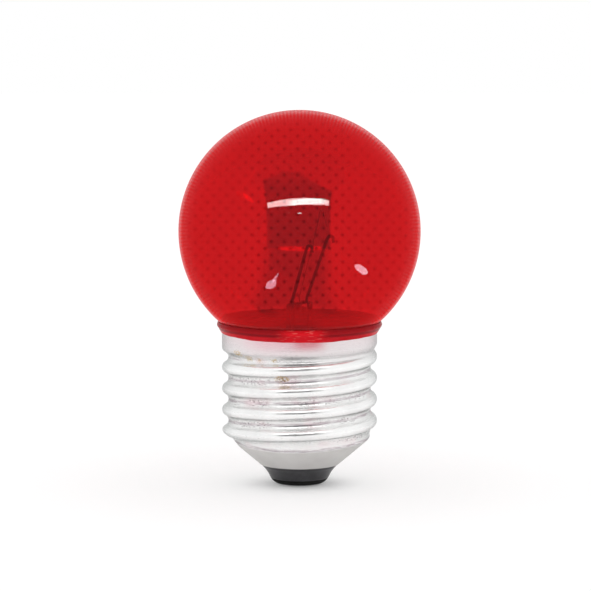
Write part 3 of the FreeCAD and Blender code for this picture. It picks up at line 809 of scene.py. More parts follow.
@dataclass(frozen=True)
class RolledAluminium:
    """Rolled aluminium: bright on the crests, darker with residue in the grooves, matte on the cone,
    with painted shade lines in the roots and above the cone, and a painted red reflection where glass
    mirrors it.

    Lengths are in millimetres. A patch of residue is a place, a reach and a weight. A cover is how
    strongly one colour is laid over the others.
    """

    bright: tuple = (0.94, 0.94, 0.935, 1.0)
    # the darker colour of the grooves
    groove_tone: tuple = (0.82, 0.815, 0.805, 1.0)
    cone: tuple = (0.72, 0.70, 0.685, 1.0)
    collar: tuple = (0.71, 0.685, 0.69, 1.0)
    blush: tuple = (0.80, 0.40, 0.47, 1.0)
    mist: tuple = (0.62, 0.16, 0.19, 1.0)
    residue: tuple = (0.60, 0.42, 0.15, 1.0)
    scuff: tuple = (0.20, 0.17, 0.18, 1.0)
    # painted shade: dark lines in the thread's roots and just above the cone
    root_shade: tuple = (0.34, 0.26, 0.30, 1.0)
    grazing: tuple = (0.56, 0.575, 0.57, 1.0)
    # painted reflection: the red the cap shows where glass mirrors it
    mirrored: tuple = (0.90, 0.05, 0.06, 1.0)
    collar_edge: tuple = (21.2, 23.6)
    patches: tuple = (
        (-10.35, -7.87, 23.2, 1.4, 1.0),
        (-8.81, -9.29, 22.45, 1.3, 1.3),
        (-6.97, -10.7, 22.3, 1.1, 1.0),
        (-4.4, -11.9, 22.5, 0.9, 1.6),
        (-3.0, -11.9, 19.45, 1.45, 3.4),
    )
    patch_flatness: float = 1.7
    blush_centre: tuple = (-3.5, -12.8, 26.2)
    blush_reach: tuple = (10.5, 1.0)
    blush_edge: tuple = (22.5, 26.2)
    mist_centre: tuple = (1.4, -13.1, 25.6)
    mist_reach: tuple = (4.2, 0.6)
    mist_edge: tuple = (23.6, 25.6)
    groove_tone_cover: float = 0.45
    cone_cover: float = 0.9
    mottle_cover: float = 0.12
    collar_cover: float = 0.85
    residue_cover: float = 0.85
    speck_cover: float = 0.92
    root_shade_cover: float = 0.8
    blush_cover: float = 0.70
    mist_cover: float = 0.75
    hint_cover: float = 0.22
    polish: float = 0.19
    line_roughness: float = 0.14
    cone_roughness: float = 0.26
    dirt_roughness: float = 0.3
    relief: float = 0.016

    def residue_mask(self, shader: Shader, place: Socket, specks: bpy.types.NodeTree) -> Socket:
        """Where the yellow residue lies: specks inside soft flattened balls at the named patches.

        Args:
            shader: The material's shader.
            place: The place, in metres.
            specks: The shared group of scattered specks.

        Returns:
            The mask.
        """
        flat = shader.stretched(place, (1.0, 1.0, self.patch_flatness))
        total = 0.0
        for x, y, z, reach, weight in self.patches:
            away = shader.distance(flat, (x, y, z * self.patch_flatness))
            total = shader.line(shader.ramp(reach, 0.3 * reach, away), weight, total)
        grains = shader.group(specks, {"Place": place, "Scale": 5200.0, "Share": 0.66, "Size": 0.62})
        return shader.times(grains.outputs["Mask"], total)

    def groove_specks(self, shader: Shader, place: Socket, groove: Socket,
                      specks: bpy.types.NodeTree) -> Socket:
        """Where dark specks lie: in stretches of the thread's roots.

        Args:
            shader: The material's shader.
            place: The place, in metres.
            groove: How deep in the thread it is, 1 in a root.
            specks: The shared group of scattered specks.

        Returns:
            The mask.
        """
        flat = shader.stretched(place, (1.0, 1.0, 2.4))
        grains = shader.group(specks, {"Place": flat, "Scale": 3000.0, "Share": 0.42, "Size": 0.47})
        stretches = shader.ramp(0.42, 0.6, shader.noise(place, 190.0, 1.0))
        roots = shader.ramp(0.74, 0.97, groove)
        return shader.times(grains.outputs["Mask"], shader.times(roots, stretches))

    def pink_tint_below_bead(self, shader: Shader, place: Socket, height: Socket, colour: Socket) -> Socket:
        """Lays a pink tint under the bead: a wide blush and a denser mist.

        Args:
            shader: The material's shader.
            place: The place, in metres.
            height: Its height, in millimetres.
            colour: The metal's colour.

        Returns:
            The colour with the spray on it.
        """
        cloudy = shader.line(shader.noise(place, 240.0, 3.0), 0.7, 0.65)
        near = shader.ramp(*self.blush_reach, shader.distance(place, self.blush_centre))
        blush = shader.times(shader.ramp(*self.blush_edge, height), shader.line(near, 0.75, 0.25))
        blush = shader.times(shader.times(blush, cloudy), self.blush_cover)
        colour = shader.blend(blush, colour, self.blush)
        near = shader.ramp(*self.mist_reach, shader.distance(place, self.mist_centre))
        mist = shader.times(near, shader.ramp(*self.mist_edge, height))
        mist = shader.times(mist, shader.times(cloudy, self.mist_cover))
        return shader.blend(mist, colour, self.mist)

    def material(self, specks: bpy.types.NodeTree) -> bpy.types.Material:
        """Builds the metal.

        Args:
            specks: The shared group of scattered specks.

        Returns:
            The material. It reads the marks "groove" (1 in a root), "cone" (1 on the cone) and
            the brim mark (more than 0 just above the cone), which carries a painted shade line.
        """
        material, shader = new_material("rolled_aluminium")
        place = shader.place()
        height = shader.millimetres(place)[2]
        groove = shader.attribute("groove")
        cone = shader.attribute("cone")
        rolled = shader.stretched(place, (1.0, 1.0, 14.0))
        lines = shader.noise(rolled, 500.0, 3.0, 0.6)
        grain = shader.noise(place, 5200.0)
        toned = shader.times(shader.ramp(0.35, 1.0, groove), self.groove_tone_cover)
        colour = shader.blend(toned, self.bright, self.groove_tone)
        colour = shader.blend(shader.times(cone, self.cone_cover), colour, self.cone)
        mottled = shader.ramp(0.4, 0.75, shader.noise(place, 160.0, 3.0))
        colour = shader.blend(shader.times(mottled, self.mottle_cover), colour, self.scuff)
        collar = shader.ramp(*self.collar_edge, height)
        colour = shader.blend(shader.times(collar, self.collar_cover), colour, self.collar)
        yellow = self.residue_mask(shader, place, specks)
        colour = shader.blend(shader.maths("MINIMUM", yellow, self.residue_cover), colour, self.residue)
        dark = self.groove_specks(shader, place, groove, specks)
        colour = shader.blend(shader.times(dark, self.speck_cover), colour, self.scuff)
        # painted shade: dark lines in the roots and just above the cone
        ragged = shader.ramp(0.30, 0.62, shader.noise(rolled, 420.0, 3.0, 0.7))
        root_shade = shader.times(shader.ramp(0.955, 0.998, groove), 0.85)
        root_shade = shader.times(shader.maths("MAXIMUM", root_shade, shader.attribute("brim_shade")), ragged)
        colour = shader.blend(shader.times(root_shade, self.root_shade_cover), colour, self.root_shade)
        colour = self.pink_tint_below_bead(shader, place, height, colour)
        hint = shader.ramp(0.5, 0.72, shader.noise(place, 230.0, 1.0))
        hint = shader.times(hint, shader.times(groove, self.hint_cover))
        colour = shader.blend(hint, colour, self.blush)
        # painted reflection: red where the glass mirrors the cap
        colour = shader.blend(shader.mirrored_by_glass(), colour, self.mirrored)
        rough = shader.line(cone, self.cone_roughness, shader.line(lines, self.line_roughness, self.polish))
        rough = shader.line(shader.maths("MAXIMUM", yellow, dark), self.dirt_roughness, rough)
        relief = shader.line(shader.noise(place, 330.0, 1.0), 4.0, shader.line(grain, 0.25, lines))
        relief = shader.line(shader.times(grain, cone), 1.6, relief)
        shader.finish(shader.node("ShaderNodeBsdfPrincipled", {
            "Base Color": colour,
            "Metallic": 1.0,
            "Specular Tint": self.grazing,
            "Roughness": rough,
            "Normal": shader.bump(relief, self.relief * MM, 0.8),
        }))
        return material


@dataclass(frozen=True)
class Plain:
    """A plain procedural finish: colour mottled by soft noise, with fine bumps.

    The grain is in turns to a metre and the relief in millimetres.
    """

    name: str
    colour: tuple
    shade: tuple
    roughness: float
    metallic: float = 0.0
    grain: float = 3000.0
    relief: float = 0.01
    spread: float = 0.12
    shine: float = 0.5

    def material(self) -> bpy.types.Material:
        """Builds the finish.

        Returns:
            The material.
        """
        material, shader = new_material(self.name)
        place = shader.place()
        cloud = shader.noise(place, self.grain * 0.12, 3.0)
        fine = shader.noise(place, self.grain, 3.0)
        mottled = shader.ramp(0.3, 0.75, shader.line(fine, 0.3, shader.times(cloud, 0.7)))
        shader.finish(shader.node("ShaderNodeBsdfPrincipled", {
            "Base Color": shader.blend(mottled, self.colour + (1.0,), self.shade + (1.0,)),
            "Metallic": self.metallic,
            "Specular IOR Level": self.shine,
            "Roughness": shader.line(fine, self.spread, self.roughness - self.spread / 2),
            "Normal": shader.bump(fine, self.relief * MM, 0.7),
        }))
        return material


@dataclass(frozen=True)
class ClearGlass:
    """Drawn clear glass with faint draw lines."""

    colour: tuple = (0.93, 0.95, 0.94, 1.0)
    tint: tuple = (0.86, 0.9, 0.88, 1.0)
    refraction: float = 1.2

    def material(self) -> bpy.types.Material:
        """Builds the glass.

        Returns:
            The material.
        """
        material, shader = new_material("clear_stem_glass")
        drawn = shader.stretched(shader.place(), (1.0, 1.0, 0.15))
        waves = shader.noise(drawn, 1200.0)
        shader.finish(shader.node("ShaderNodeBsdfPrincipled", {
            "Base Color": shader.blend(shader.ramp(0.3, 0.8, waves), self.colour, self.tint),
            "Roughness": 0.03,
            "IOR": self.refraction,
            "Transmission Weight": 1.0,
            "Normal": shader.bump(waves, 0.01 * MM, 0.15),
        }))
        return material


# Sub-assemblies
@dataclass
class Globe:
    """The blown globe with its neck, and the lacquer bead at the rim. Sizes are in millimetres."""

    radius: float = 20.45
    height: float = 43.06
    wall: float = 0.6
    neck: float = 10.9
    fillet: float = 3.0
    foot: float = 12.0
    bead_bottom: float = 25.95
    bead_lip: float = 27.2
    bead_radius: float = 14.0
    bead_top: float = 27.9
    bead_floor: float = 26.75
    bead_gap: float = 0.02
    bead_corner: float = 0.16
    bead_foot: tuple = (26.6, 25.9)
    bead_waves: float = 0.07
    bead_sag: float = 0.28
    segments: int = 192

    def side(self, depth: float, rising: bool) -> np.ndarray:
        """One side of the glass wall as a profile from foot to top, or the other way.

        It is the neck's straight line, the inward fillet with its centre outside the wall, and
        the ball's arc, all at the same depth under the outer surface.

        Args:
            depth: How far inside the outer surface.
            rising: Whether the profile runs upwards.

        Returns:
            The profile.
        """
        reach = self.neck + self.fillet
        drop = math.sqrt((self.radius + self.fillet) ** 2 - reach ** 2)
        turn = math.degrees(math.atan2(drop, reach))
        foot = np.linspace(self.foot, self.height - drop, 9)[:-1]
        neck = np.column_stack([np.full_like(foot, self.neck - depth), foot])
        curve = arc_points((reach, self.height - drop), self.fillet + depth, 180.0, 180.0 - turn, 14)[:-1]
        ball = arc_points((0.0, self.height), self.radius - depth, -turn, 90.0, 110)
        ball[-1, 0] = 0.0
        profile = np.vstack([neck, curve, ball])
        return profile if rising else profile[::-1]

    def glass(self) -> Shape:
        """The closed wall: down the inside from the pole, round the foot and up the outside."""
        profile = np.vstack([self.side(self.wall, False), self.side(0.0, True)])
        return turned(profile, self.segments)

    def beside_ball(self, height: float) -> float:
        """The radius just outside the ball at a height."""
        return math.sqrt(self.radius ** 2 - (self.height - height) ** 2) + self.bead_gap

    def bead(self) -> Shape:
        """The lacquer bead: a soft-cornered ring between the ball and the flared rim.

        Its lower edge is moved up and down by three sine waves of the angle, and sags at the
        front by the square of the sine.

        Returns:
            The shape.
        """
        corners = np.array([
            (13.17, self.bead_bottom),
            (13.30, self.bead_bottom + 0.10),
            (self.bead_radius - 0.36, self.bead_lip - 0.58),
            (self.bead_radius, self.bead_lip),
            (self.bead_radius - 0.05, self.bead_lip + 0.32),
            (self.beside_ball(self.bead_top), self.bead_top),
            (self.beside_ball(self.bead_floor), self.bead_floor),
            (13.03, self.bead_floor),
            (13.34, 27.10),
            (13.66, 26.90),
            (13.19, 26.05),
        ])
        vertices, faces = turned(softened_ring(corners, self.bead_corner), self.segments)
        angle = np.arctan2(vertices[:, 1], vertices[:, 0])
        low = smooth_step(*self.bead_foot, vertices[:, 2])
        waves = 0.5 * np.sin(7 * angle + 0.6) + 0.3 * np.sin(13 * angle + 2.0) + 0.2 * np.sin(29 * angle)
        front = np.maximum(-np.sin(angle), 0.0) ** 2
        vertices[:, 2] += low * (self.bead_waves * waves - self.bead_sag * front)
        return vertices, faces

    def build(self) -> list:
        """Makes the glass and the bead.

        Returns:
            The two pieces.
        """
        glass = LacqueredGlass().material()
        lacquer = LacquerBead().material()
        return [
            add_piece("globe_glass", self.glass(), glass, ("glass_envelope",)),
            add_piece("rim_lacquer", self.bead(), lacquer, ("lacquer_bead",)),
        ]


@dataclass
class ScrewCap:
    """The rolled screw cap with its insulator, contact and solder. Sizes are in millimetres.

    The cone's border is its upper edge, which leans to the right and dips at the front.
    """

    crest: float = 13.15
    pitch: float = 3.629
    arc: float = 1.025
    root_depth: float = 1.095
    first_crest: float = 9.12
    sheet: float = 0.3
    edge_radius: float = 6.7
    edge_height: float = 3.45
    slope: float = 1.174
    blend: float = 0.8
    start: tuple = (6.2, 9.4)
    fade: tuple = (21.9, 24.3)
    flare_height: float = 26.1
    rim_height: float = 26.9
    rim_radius: float = 13.6
    border: float = 7.53
    border_lean: float = 0.23
    border_dip: float = 0.69
    border_blur: float = 0.12
    brim_reach: tuple = (0.15, 0.35, 0.8)
    brim_shade_strength: float = 0.95
    drop_place: tuple = (13.38, 26.3)
    drop_size: tuple = (1.33, 0.72, 1.06)
    columns: int = 288
    rows: int = 230
    segments: int = 128

    def drop(self, offset: np.ndarray) -> np.ndarray:
        """How far the knuckle thread lies inside its crest: two tangent arcs to each half pitch.

        Args:
            offset: The height over the nearest crest, or over any other.

        Returns:
            The drop: 0 on a crest, and the thread's depth in a root.
        """
        depth = 2 * (self.arc - math.sqrt(self.arc ** 2 - (self.pitch / 4) ** 2))
        away = np.abs((offset + self.pitch / 2) % self.pitch - self.pitch / 2)
        rest = self.pitch / 2 - away
        near = self.arc - np.sqrt(np.maximum(self.arc ** 2 - away ** 2, 0.0))
        far = depth - self.arc + np.sqrt(np.maximum(self.arc ** 2 - rest ** 2, 0.0))
        return np.where(away <= self.pitch / 4, near, far)

    def thread(self, turn: np.ndarray, height: np.ndarray) -> np.ndarray:
        """How deep the rolled thread lies: its drop under a crest that climbs one pitch a turn.

        Args:
            turn: The angle about the axis, in radians.
            height: The height.

        Returns:
            The depth, which runs out below and above.
        """
        crest = self.first_crest + self.pitch * (turn - math.pi) / (2 * math.pi)
        share = smooth_step(*self.start, height) * (1 - smooth_step(*self.fade, height))
        return share * self.drop(height - crest)

    def outer(self, turn: np.ndarray, height: np.ndarray) -> np.ndarray:
        """The sheet's outer radius: cone and collar joined softly, less the thread, plus the flare.

        Args:
            turn: The angle about the axis, in radians.
            height: The height.

        Returns:
            The radius.
        """
        cone = self.edge_radius + self.slope * (height - self.edge_height)
        overlap = np.maximum(self.blend - np.abs(self.crest - cone), 0.0) / self.blend
        envelope = np.minimum(self.crest, cone) - overlap ** 2 * self.blend / 4
        flare = np.maximum(height - self.flare_height, 0.0) * (self.rim_radius - self.crest)
        flare /= self.rim_height - self.flare_height
        return envelope - self.thread(turn, height) + flare

    def shell(self) -> tuple[Shape, dict]:
        """The sheet as one closed skin over angle and height.

        The outer side is (R cos a, R sin a, z), with R from the thread's formula. The inner side is
        the same surface moved inwards, square to itself, by the sheet's thickness.

        Returns:
            The shape, and for each vertex the marks "groove", "cone" and brim, the last a band just above
            the cone that carries a painted shade line.
        """
        turn = np.linspace(0.0, 2 * math.pi, self.columns, endpoint=False)[None]
        height = np.linspace(self.edge_height, self.rim_height, self.rows)[:, None]
        radius = self.outer(turn, height)
        step = 0.01
        low = np.maximum(height - step, self.edge_height)
        high = np.minimum(height + step, self.rim_height)
        slope = (self.outer(turn, high) - self.outer(turn, low)) / (high - low)
        length = np.sqrt(1 + slope ** 2)
        last = self.rows - 1 - (self.rows - 1) % 2
        inner_radius = (radius - self.sheet / length)[last::-2]
        inner_height = (height + self.sheet * slope / length)[last::-2]
        radii = np.vstack([radius, inner_radius])
        heights = np.vstack([np.broadcast_to(height, radius.shape), inner_height])
        vertices = np.stack([radii * np.cos(turn), radii * np.sin(turn), heights], axis=-1)
        front = np.maximum(-np.sin(turn), 0.0)
        border = self.border + self.border_lean * np.cos(turn) - self.border_dip * front ** 2
        over = height - border
        # where the painted shade line lies, just above the cone
        full, fading, ended = self.brim_reach
        brim_shade = smooth_step(0.0, full, over) * (1 - smooth_step(fading, ended, over))
        fields = {
            "groove": self.thread(turn, height) / self.root_depth,
            "cone": 1 - smooth_step(-self.border_blur, self.border_blur, over),
            "brim_shade": self.brim_shade_strength * brim_shade,
        }
        marks = {name: np.vstack([field, field[last::-2]]).ravel() for name, field in fields.items()}
        faces = grid_faces(len(radii), self.columns, wrap_rows=True)
        return (vertices.reshape(-1, 3), faces), marks

    def insulator(self) -> Shape:
        """The black glass: a ring with a hollow side curve below the cap and a plain top inside.

        Returns:
            The shape.
        """
        side = arc_points((10.005, -0.80), 5.4, 159.4, 133.8, 14)
        side[0] = (4.95, 1.1)
        profile = np.vstack([
            softened(np.array([(3.3, 0.5), (4.45, 1.1), (4.88, 1.1), (4.95, 1.16)]), 0.05)[:-1],
            side[1:],
            softened(np.array([
                tuple(side[-1]), (6.46, 3.62), (8.70, 5.55), (8.4, 5.6), (2.8, 5.6), (1.6, 4.9), (1.6, 0.5),
            ]), 0.12)[1:],
        ])
        return turned(profile, self.segments)

    def plate(self) -> Shape:
        """The dished contact plate, flat underneath with a rounded edge.

        Returns:
            The shape.
        """
        corners = np.array([
            (1.5, 0.12), (3.4, 0.12), (4.0, 0.24), (4.42, 0.52), (4.74, 0.84), (4.9, 1.1), (4.45, 1.1),
            (4.1, 0.78), (3.3, 0.5), (1.5, 0.5),
        ])
        return turned(softened_ring(corners, 0.14), self.segments)

    def contact_drop(self) -> Shape:
        """The solder drop: a low dome with a flat tip, its edge pushed in and out by low waves.

        Returns:
            The shape.
        """
        profile = np.vstack([
            [(0.0, 0.0), (0.7, 0.0)],
            softened(np.array([(1.3, 0.0), (1.9, 0.04), (2.2, 0.12), (1.5, 0.12), (1.5, 0.62)]), 0.2),
            [(0.6, 0.8), (0.0, 0.86)],
        ])
        vertices, faces = turned(profile, 96)
        angle = np.arctan2(vertices[:, 1], vertices[:, 0])
        edge = smooth_step(1.5, 1.9, np.hypot(vertices[:, 0], vertices[:, 1]))
        swell = 1 + edge * (0.05 * np.sin(3 * angle + 1.0) + 0.03 * np.sin(5 * angle + 2.2))
        vertices[:, :2] *= swell[:, None]
        return vertices, faces

    def side_drop(self) -> Shape:
        """The solder on the rim at the back: a flattened ball, uneven by a few waves.

        A point at turn a and rise b is (w cos b cos a, w cos b sin a, sin b) times the three half
        sizes, where w is 1 plus two waves that fade out towards the poles.

        Returns:
            The shape.
        """
        (north, height), (wide, deep, tall) = self.drop_place, self.drop_size
        turn = np.linspace(0.0, 2 * math.pi, 72, endpoint=False)[None]
        rise = np.linspace(-0.5 * math.pi, 0.5 * math.pi, 40)[:, None]
        waves = 0.05 * np.sin(3 * turn + 4 * rise) + 0.03 * np.sin(5 * turn + 0.8)
        reach = np.cos(rise) * (1 + waves * np.cos(rise))
        points = np.stack([
            wide * reach * np.cos(turn),
            north + deep * reach * np.sin(turn),
            height + tall * np.sin(rise) * np.ones_like(turn),
        ], axis=-1)
        return with_poles(points[1:-1], (0.0, north, height - tall), (0.0, north, height + tall))

    def build(self) -> list:
        """Makes the cap's pieces.

        Returns:
            The five pieces.
        """
        shape, marks = self.shell()
        metal = RolledAluminium().material(specks_group())
        black = Plain(
            "black_glass", (0.019, 0.018, 0.0205), (0.038, 0.0365, 0.041), 0.33,
            grain=5000.0, shine=0.42).material()
        # painted shade: the contact plate is coloured near black and dull, keeping the dark of the shade
        # under the cap
        dark = Plain(
            "contact_plate_painted_shade", (0.007, 0.007, 0.007), (0.015, 0.014, 0.013), 0.62,
            grain=2600.0, shine=0.06).material()
        solder = Plain(
            "dull_solder", (0.52, 0.52, 0.53), (0.38, 0.37, 0.37), 0.38,
            metallic=1.0, grain=2200.0, relief=0.03).material()
        return [
            add_piece("cap_sleeve", shape, metal, ("cap_shell",), marks=marks),
            add_piece("black_insulator", self.insulator(), black, ("cap_insulator",)),
            add_piece("contact_disc", self.plate(), dark, ("contact_plate",)),
            add_piece("contact_drop", self.contact_drop(), solder, ("contact_solder",)),
            add_piece("side_drop", self.side_drop(), solder, ("side_solder",)),
        ]


@dataclass
class Mount:
    """The glass stem, its wires and the filament. Sizes are in millimetres."""

    left_tip: tuple = (1.3, -4.2, 41.0)
    right_tip: tuple = (4.9, 4.2, 41.8)
    arch: tuple = (3.7, 0.0, 46.2)
    crown: float = 0.9
    crown_top: float = 0.35
    coil_radius: float = 0.085
    coil_pitch: float = 0.16
    coil_wire: float = 0.008
    support_wire: float = 0.055
    support_bend: float = 0.3
    fold: float = 0.88
    fold_drop: float = 0.45
    press_turn: float = 52.0
    segments: int = 96

    def stem(self) -> Shape:
        """The stem as one closed wall whose sections change from a circle to a slot.

        At each height the section is a circle of radius t swept along a straight half length l:
        a point at angle a is (t cos a + l s(a), t sin a), where s is the smooth sign of cos a.
        The outside runs up from the flare's edge to the pressed top, and the inside back down.

        Returns:
            The shape.
        """
        outside = np.array([
            (9.1, 11.3, 0.0), (10.8, 11.3, 0.0), (10.9, 11.4, 0.0), (10.9, 11.95, 0.0), (10.8, 12.0, 0.0),
            (9.4, 12.0, 0.0), (7.6, 12.35, 0.0), (5.7, 13.3, 0.0), (4.3, 14.6, 0.0), (3.4, 15.9, 0.0),
            (3.06, 17.0, 0.0), (3.0, 18.2, 0.0), (3.0, 20.0, 0.0), (3.0, 22.0, 0.0), (2.86, 23.0, 0.12),
            (2.35, 24.3, 0.68), (1.65, 25.4, 1.35), (1.12, 26.4, 1.88), (1.0, 27.4, 2.0),
            (1.0, 29.0, 2.0), (1.0, 30.5, 2.0), (0.96, 30.78, 1.97), (0.8, 30.9, 1.85), (0.3, 30.95, 1.4),
            (0.02, 30.95, 0.6), (0.0, 30.95, 0.0),
        ])
        inside = np.array([
            (0.0, 24.2, 0.0), (0.5, 24.15, 0.0), (1.1, 23.9, 0.0), (1.8, 23.0, 0.0), (2.3, 22.2, 0.0),
            (2.4, 21.0, 0.0), (2.4, 18.6, 0.0), (2.46, 17.2, 0.0), (2.8, 16.0, 0.0), (3.7, 14.3, 0.0),
            (5.2, 12.8, 0.0), (7.1, 11.8, 0.0), (8.8, 11.4, 0.0),
        ])
        sections = np.vstack([inside, outside])
        angle = np.linspace(0.0, 2 * math.pi, self.segments, endpoint=False)
        sign = np.tanh(6.0 * np.cos(angle)) / math.tanh(6.0)
        thick, height, long = (column[:, None] for column in sections[1:-1].T)
        along = thick * np.cos(angle) + long * sign
        across = thick * np.sin(angle)
        turn = math.radians(self.press_turn)
        points = np.stack([
            along * math.cos(turn) - across * math.sin(turn),
            along * math.sin(turn) + across * math.cos(turn),
            np.broadcast_to(height, along.shape),
        ], axis=-1)
        return with_poles(points, (0.0, 0.0, sections[0, 1]), (0.0, 0.0, sections[-1, 1]))

    def exhaust(self) -> Shape:
        """The exhaust tube: a thin tube with a rounded, sealed lower tip.

        Returns:
            The shape.
        """
        tip = arc_points((0.0, 8.4), 1.2, -90.0, 0.0, 12)
        tip[0, 0] = 0.0
        profile = np.vstack([
            tip,
            softened(np.array([(1.2, 8.5), (1.2, 25.4), (0.65, 25.4), (0.65, 9.6), (0.0, 8.5)]), 0.1)[:-1],
            [(0.0, 8.5)],
        ])
        return turned(profile, self.segments // 2)

    def clamp(self, tip: np.ndarray, beyond: float) -> np.ndarray:
        """A point of the filament in a lead's fold, or beyond it towards the arch.

        Args:
            tip: The lead's tip.
            beyond: How far past the fold's middle the point lies.

        Returns:
            The point.
        """
        way = np.array([self.arch[0] - tip[0], self.arch[1] - tip[1], 0.0])
        way /= np.linalg.norm(way)
        square = np.cross([0.0, 0.0, 1.0], way)
        square *= 1 if square[0] > 0 else -1
        return tip + square * self.fold / 2 + way * beyond - np.array([0.0, 0.0, self.fold_drop])

    def filament(self) -> Shape:
        """The coil: a helix of fine wire carried along the arch between the two folds.

        A point of the wire is the arch's point plus the coil's radius times (cos, sin) of an angle
        that grows with the length along the arch, one turn to each pitch.

        Returns:
            The shape.
        """
        left, right, arch = (np.array(point) for point in (self.left_tip, self.right_tip, self.arch))
        crown = np.array([0.0, 0.0, self.crown])
        line = smooth_path(np.array([
            self.clamp(left, -0.5), self.clamp(left, 0.5),
            self.clamp(left, 0.0) * 0.45 + arch * 0.55 + crown,
            arch + [0.0, 0.0, self.crown_top],
            self.clamp(right, 0.0) * 0.45 + arch * 0.55 + crown,
            self.clamp(right, 0.5), self.clamp(right, -0.5),
        ]), self.coil_pitch / 12)
        ways = directions(line)
        first = np.cross(ways, [1.0, -0.3, 0.0])
        first /= np.linalg.norm(first, axis=1)[:, None]
        second = np.cross(ways, first)
        angle = 2 * math.pi * lengths_along(line)[:, None] / self.coil_pitch
        coil = line + self.coil_radius * (np.cos(angle) * first + np.sin(angle) * second)
        return tube(coil, self.coil_wire, 6)

    def support(self) -> Shape:
        """The fine wire that stands in the pressed glass and hooks round the top of the filament.

        Returns:
            The shape.
        """
        top = np.array(self.arch)
        corners = np.vstack([
            [(0.0, 0.0, 29.1), (0.0, 0.0, 32.1)],
            top + [(-0.55, 0.0, -1.6), (-0.30, 0.0, 0.42), (0.34, 0.0, 0.42), (0.34, 0.0, -0.55)],
        ])
        return tube(softened(corners, self.support_bend, 7), self.support_wire, 12)

    def dress(self) -> None:
        """Gives the CAD wires and the cement their finishes."""
        cement = Plain(
            "baked_cement", (0.93, 0.90, 0.84), (0.82, 0.78, 0.70), 0.85, grain=2400.0, relief=0.06)
        nickel = Plain("nickel_wire", (0.36, 0.34, 0.325), (0.29, 0.275, 0.26), 0.5, 0.8, 6000.0)
        seal = Plain("copper_clad_wire", (0.50, 0.16, 0.09), (0.34, 0.09, 0.05), 0.4, 1.0, 6000.0)
        copper = Plain("copper_wire", (0.80, 0.42, 0.26), (0.58, 0.27, 0.15), 0.3, 1.0, 6000.0)
        fuse = Plain("fuse_wire", (0.62, 0.58, 0.52), (0.45, 0.41, 0.36), 0.3, 1.0, 8000.0)
        for finish, nodes in (
            (cement, ("basing_cement",)),
            (nickel, ("left_inner_lead", "right_inner_lead")),
            (seal, ("left_seal_wire", "right_seal_wire")),
            (copper, ("side_lead", "centre_lead")),
            (fuse, ("fuse_wire",)),
        ):
            material = finish.material()
            for name in nodes:
                dress_node(name, material)

    def build(self) -> list:
        """Dresses the wires and the cement, and makes the stem, tube, filament and support.

        Returns:
            The four pieces.
        """
        self.dress()
        clear = ClearGlass().material()
        tungsten = Plain(
            "coiled_tungsten", (0.62, 0.62, 0.64), (0.48, 0.48, 0.50), 0.5, 0.6, 9000.0).material()
        molybdenum = Plain(
            "molybdenum_wire", (0.86, 0.86, 0.87), (0.76, 0.76, 0.77), 0.5, 0.4, 8000.0).material()
        return [
            add_piece("stem_glass", self.stem(), clear, ("stem_flare",)),
            add_piece("exhaust_pipe", self.exhaust(), clear, ("exhaust_tube",)),
            add_piece("coiled_filament", self.filament(), tungsten, ("filament",)),
            add_piece("support_wire", self.support(), molybdenum, ("filament_support",)),
        ]


class Sight:
    """The direction in which the tent is looked up, with its parts as sockets."""

    def __init__(self, shader: Shader) -> None:
        """Reads the direction and splits it.

        Args:
            shader: The world's shader.
        """
        self.way = shader.node("ShaderNodeTexCoord").outputs["Generated"]
        self.east, self.north, self.up = shader.parts(self.way)
        self.rise = shader.maths("ARCTAN2", self.up, shader.length(self.east, self.north))
        self.front = shader.ramp(0.02, -0.02, self.north)


@dataclass(frozen=True)
class Window:
    """A window of the tent in front of the lamp.

    Its left and right sides are parts of a unit direction. Its lower and upper sides, and how
    soft all four are, are in degrees.
    """

    left: float
    right: float
    low: float
    high: float
    soft: float

    def mask(self, shader: Shader, sight: Sight) -> Socket:
        """A mask of the window.

        Args:
            shader: The world's shader.
            sight: The direction.

        Returns:
            1 inside the window and 0 outside.
        """
        blur = self.soft / 60
        edge, low, high = (math.radians(angle) for angle in (self.soft, self.low, self.high))
        across = shader.times(
            shader.ramp(self.left - blur, self.left + blur, sight.east),
            shader.ramp(self.right + blur, self.right - blur, sight.east))
        above = shader.times(
            shader.ramp(low - edge, low + edge, sight.rise),
            shader.ramp(high + edge, high - edge, sight.rise))
        return shader.times(sight.front, shader.times(across, above))


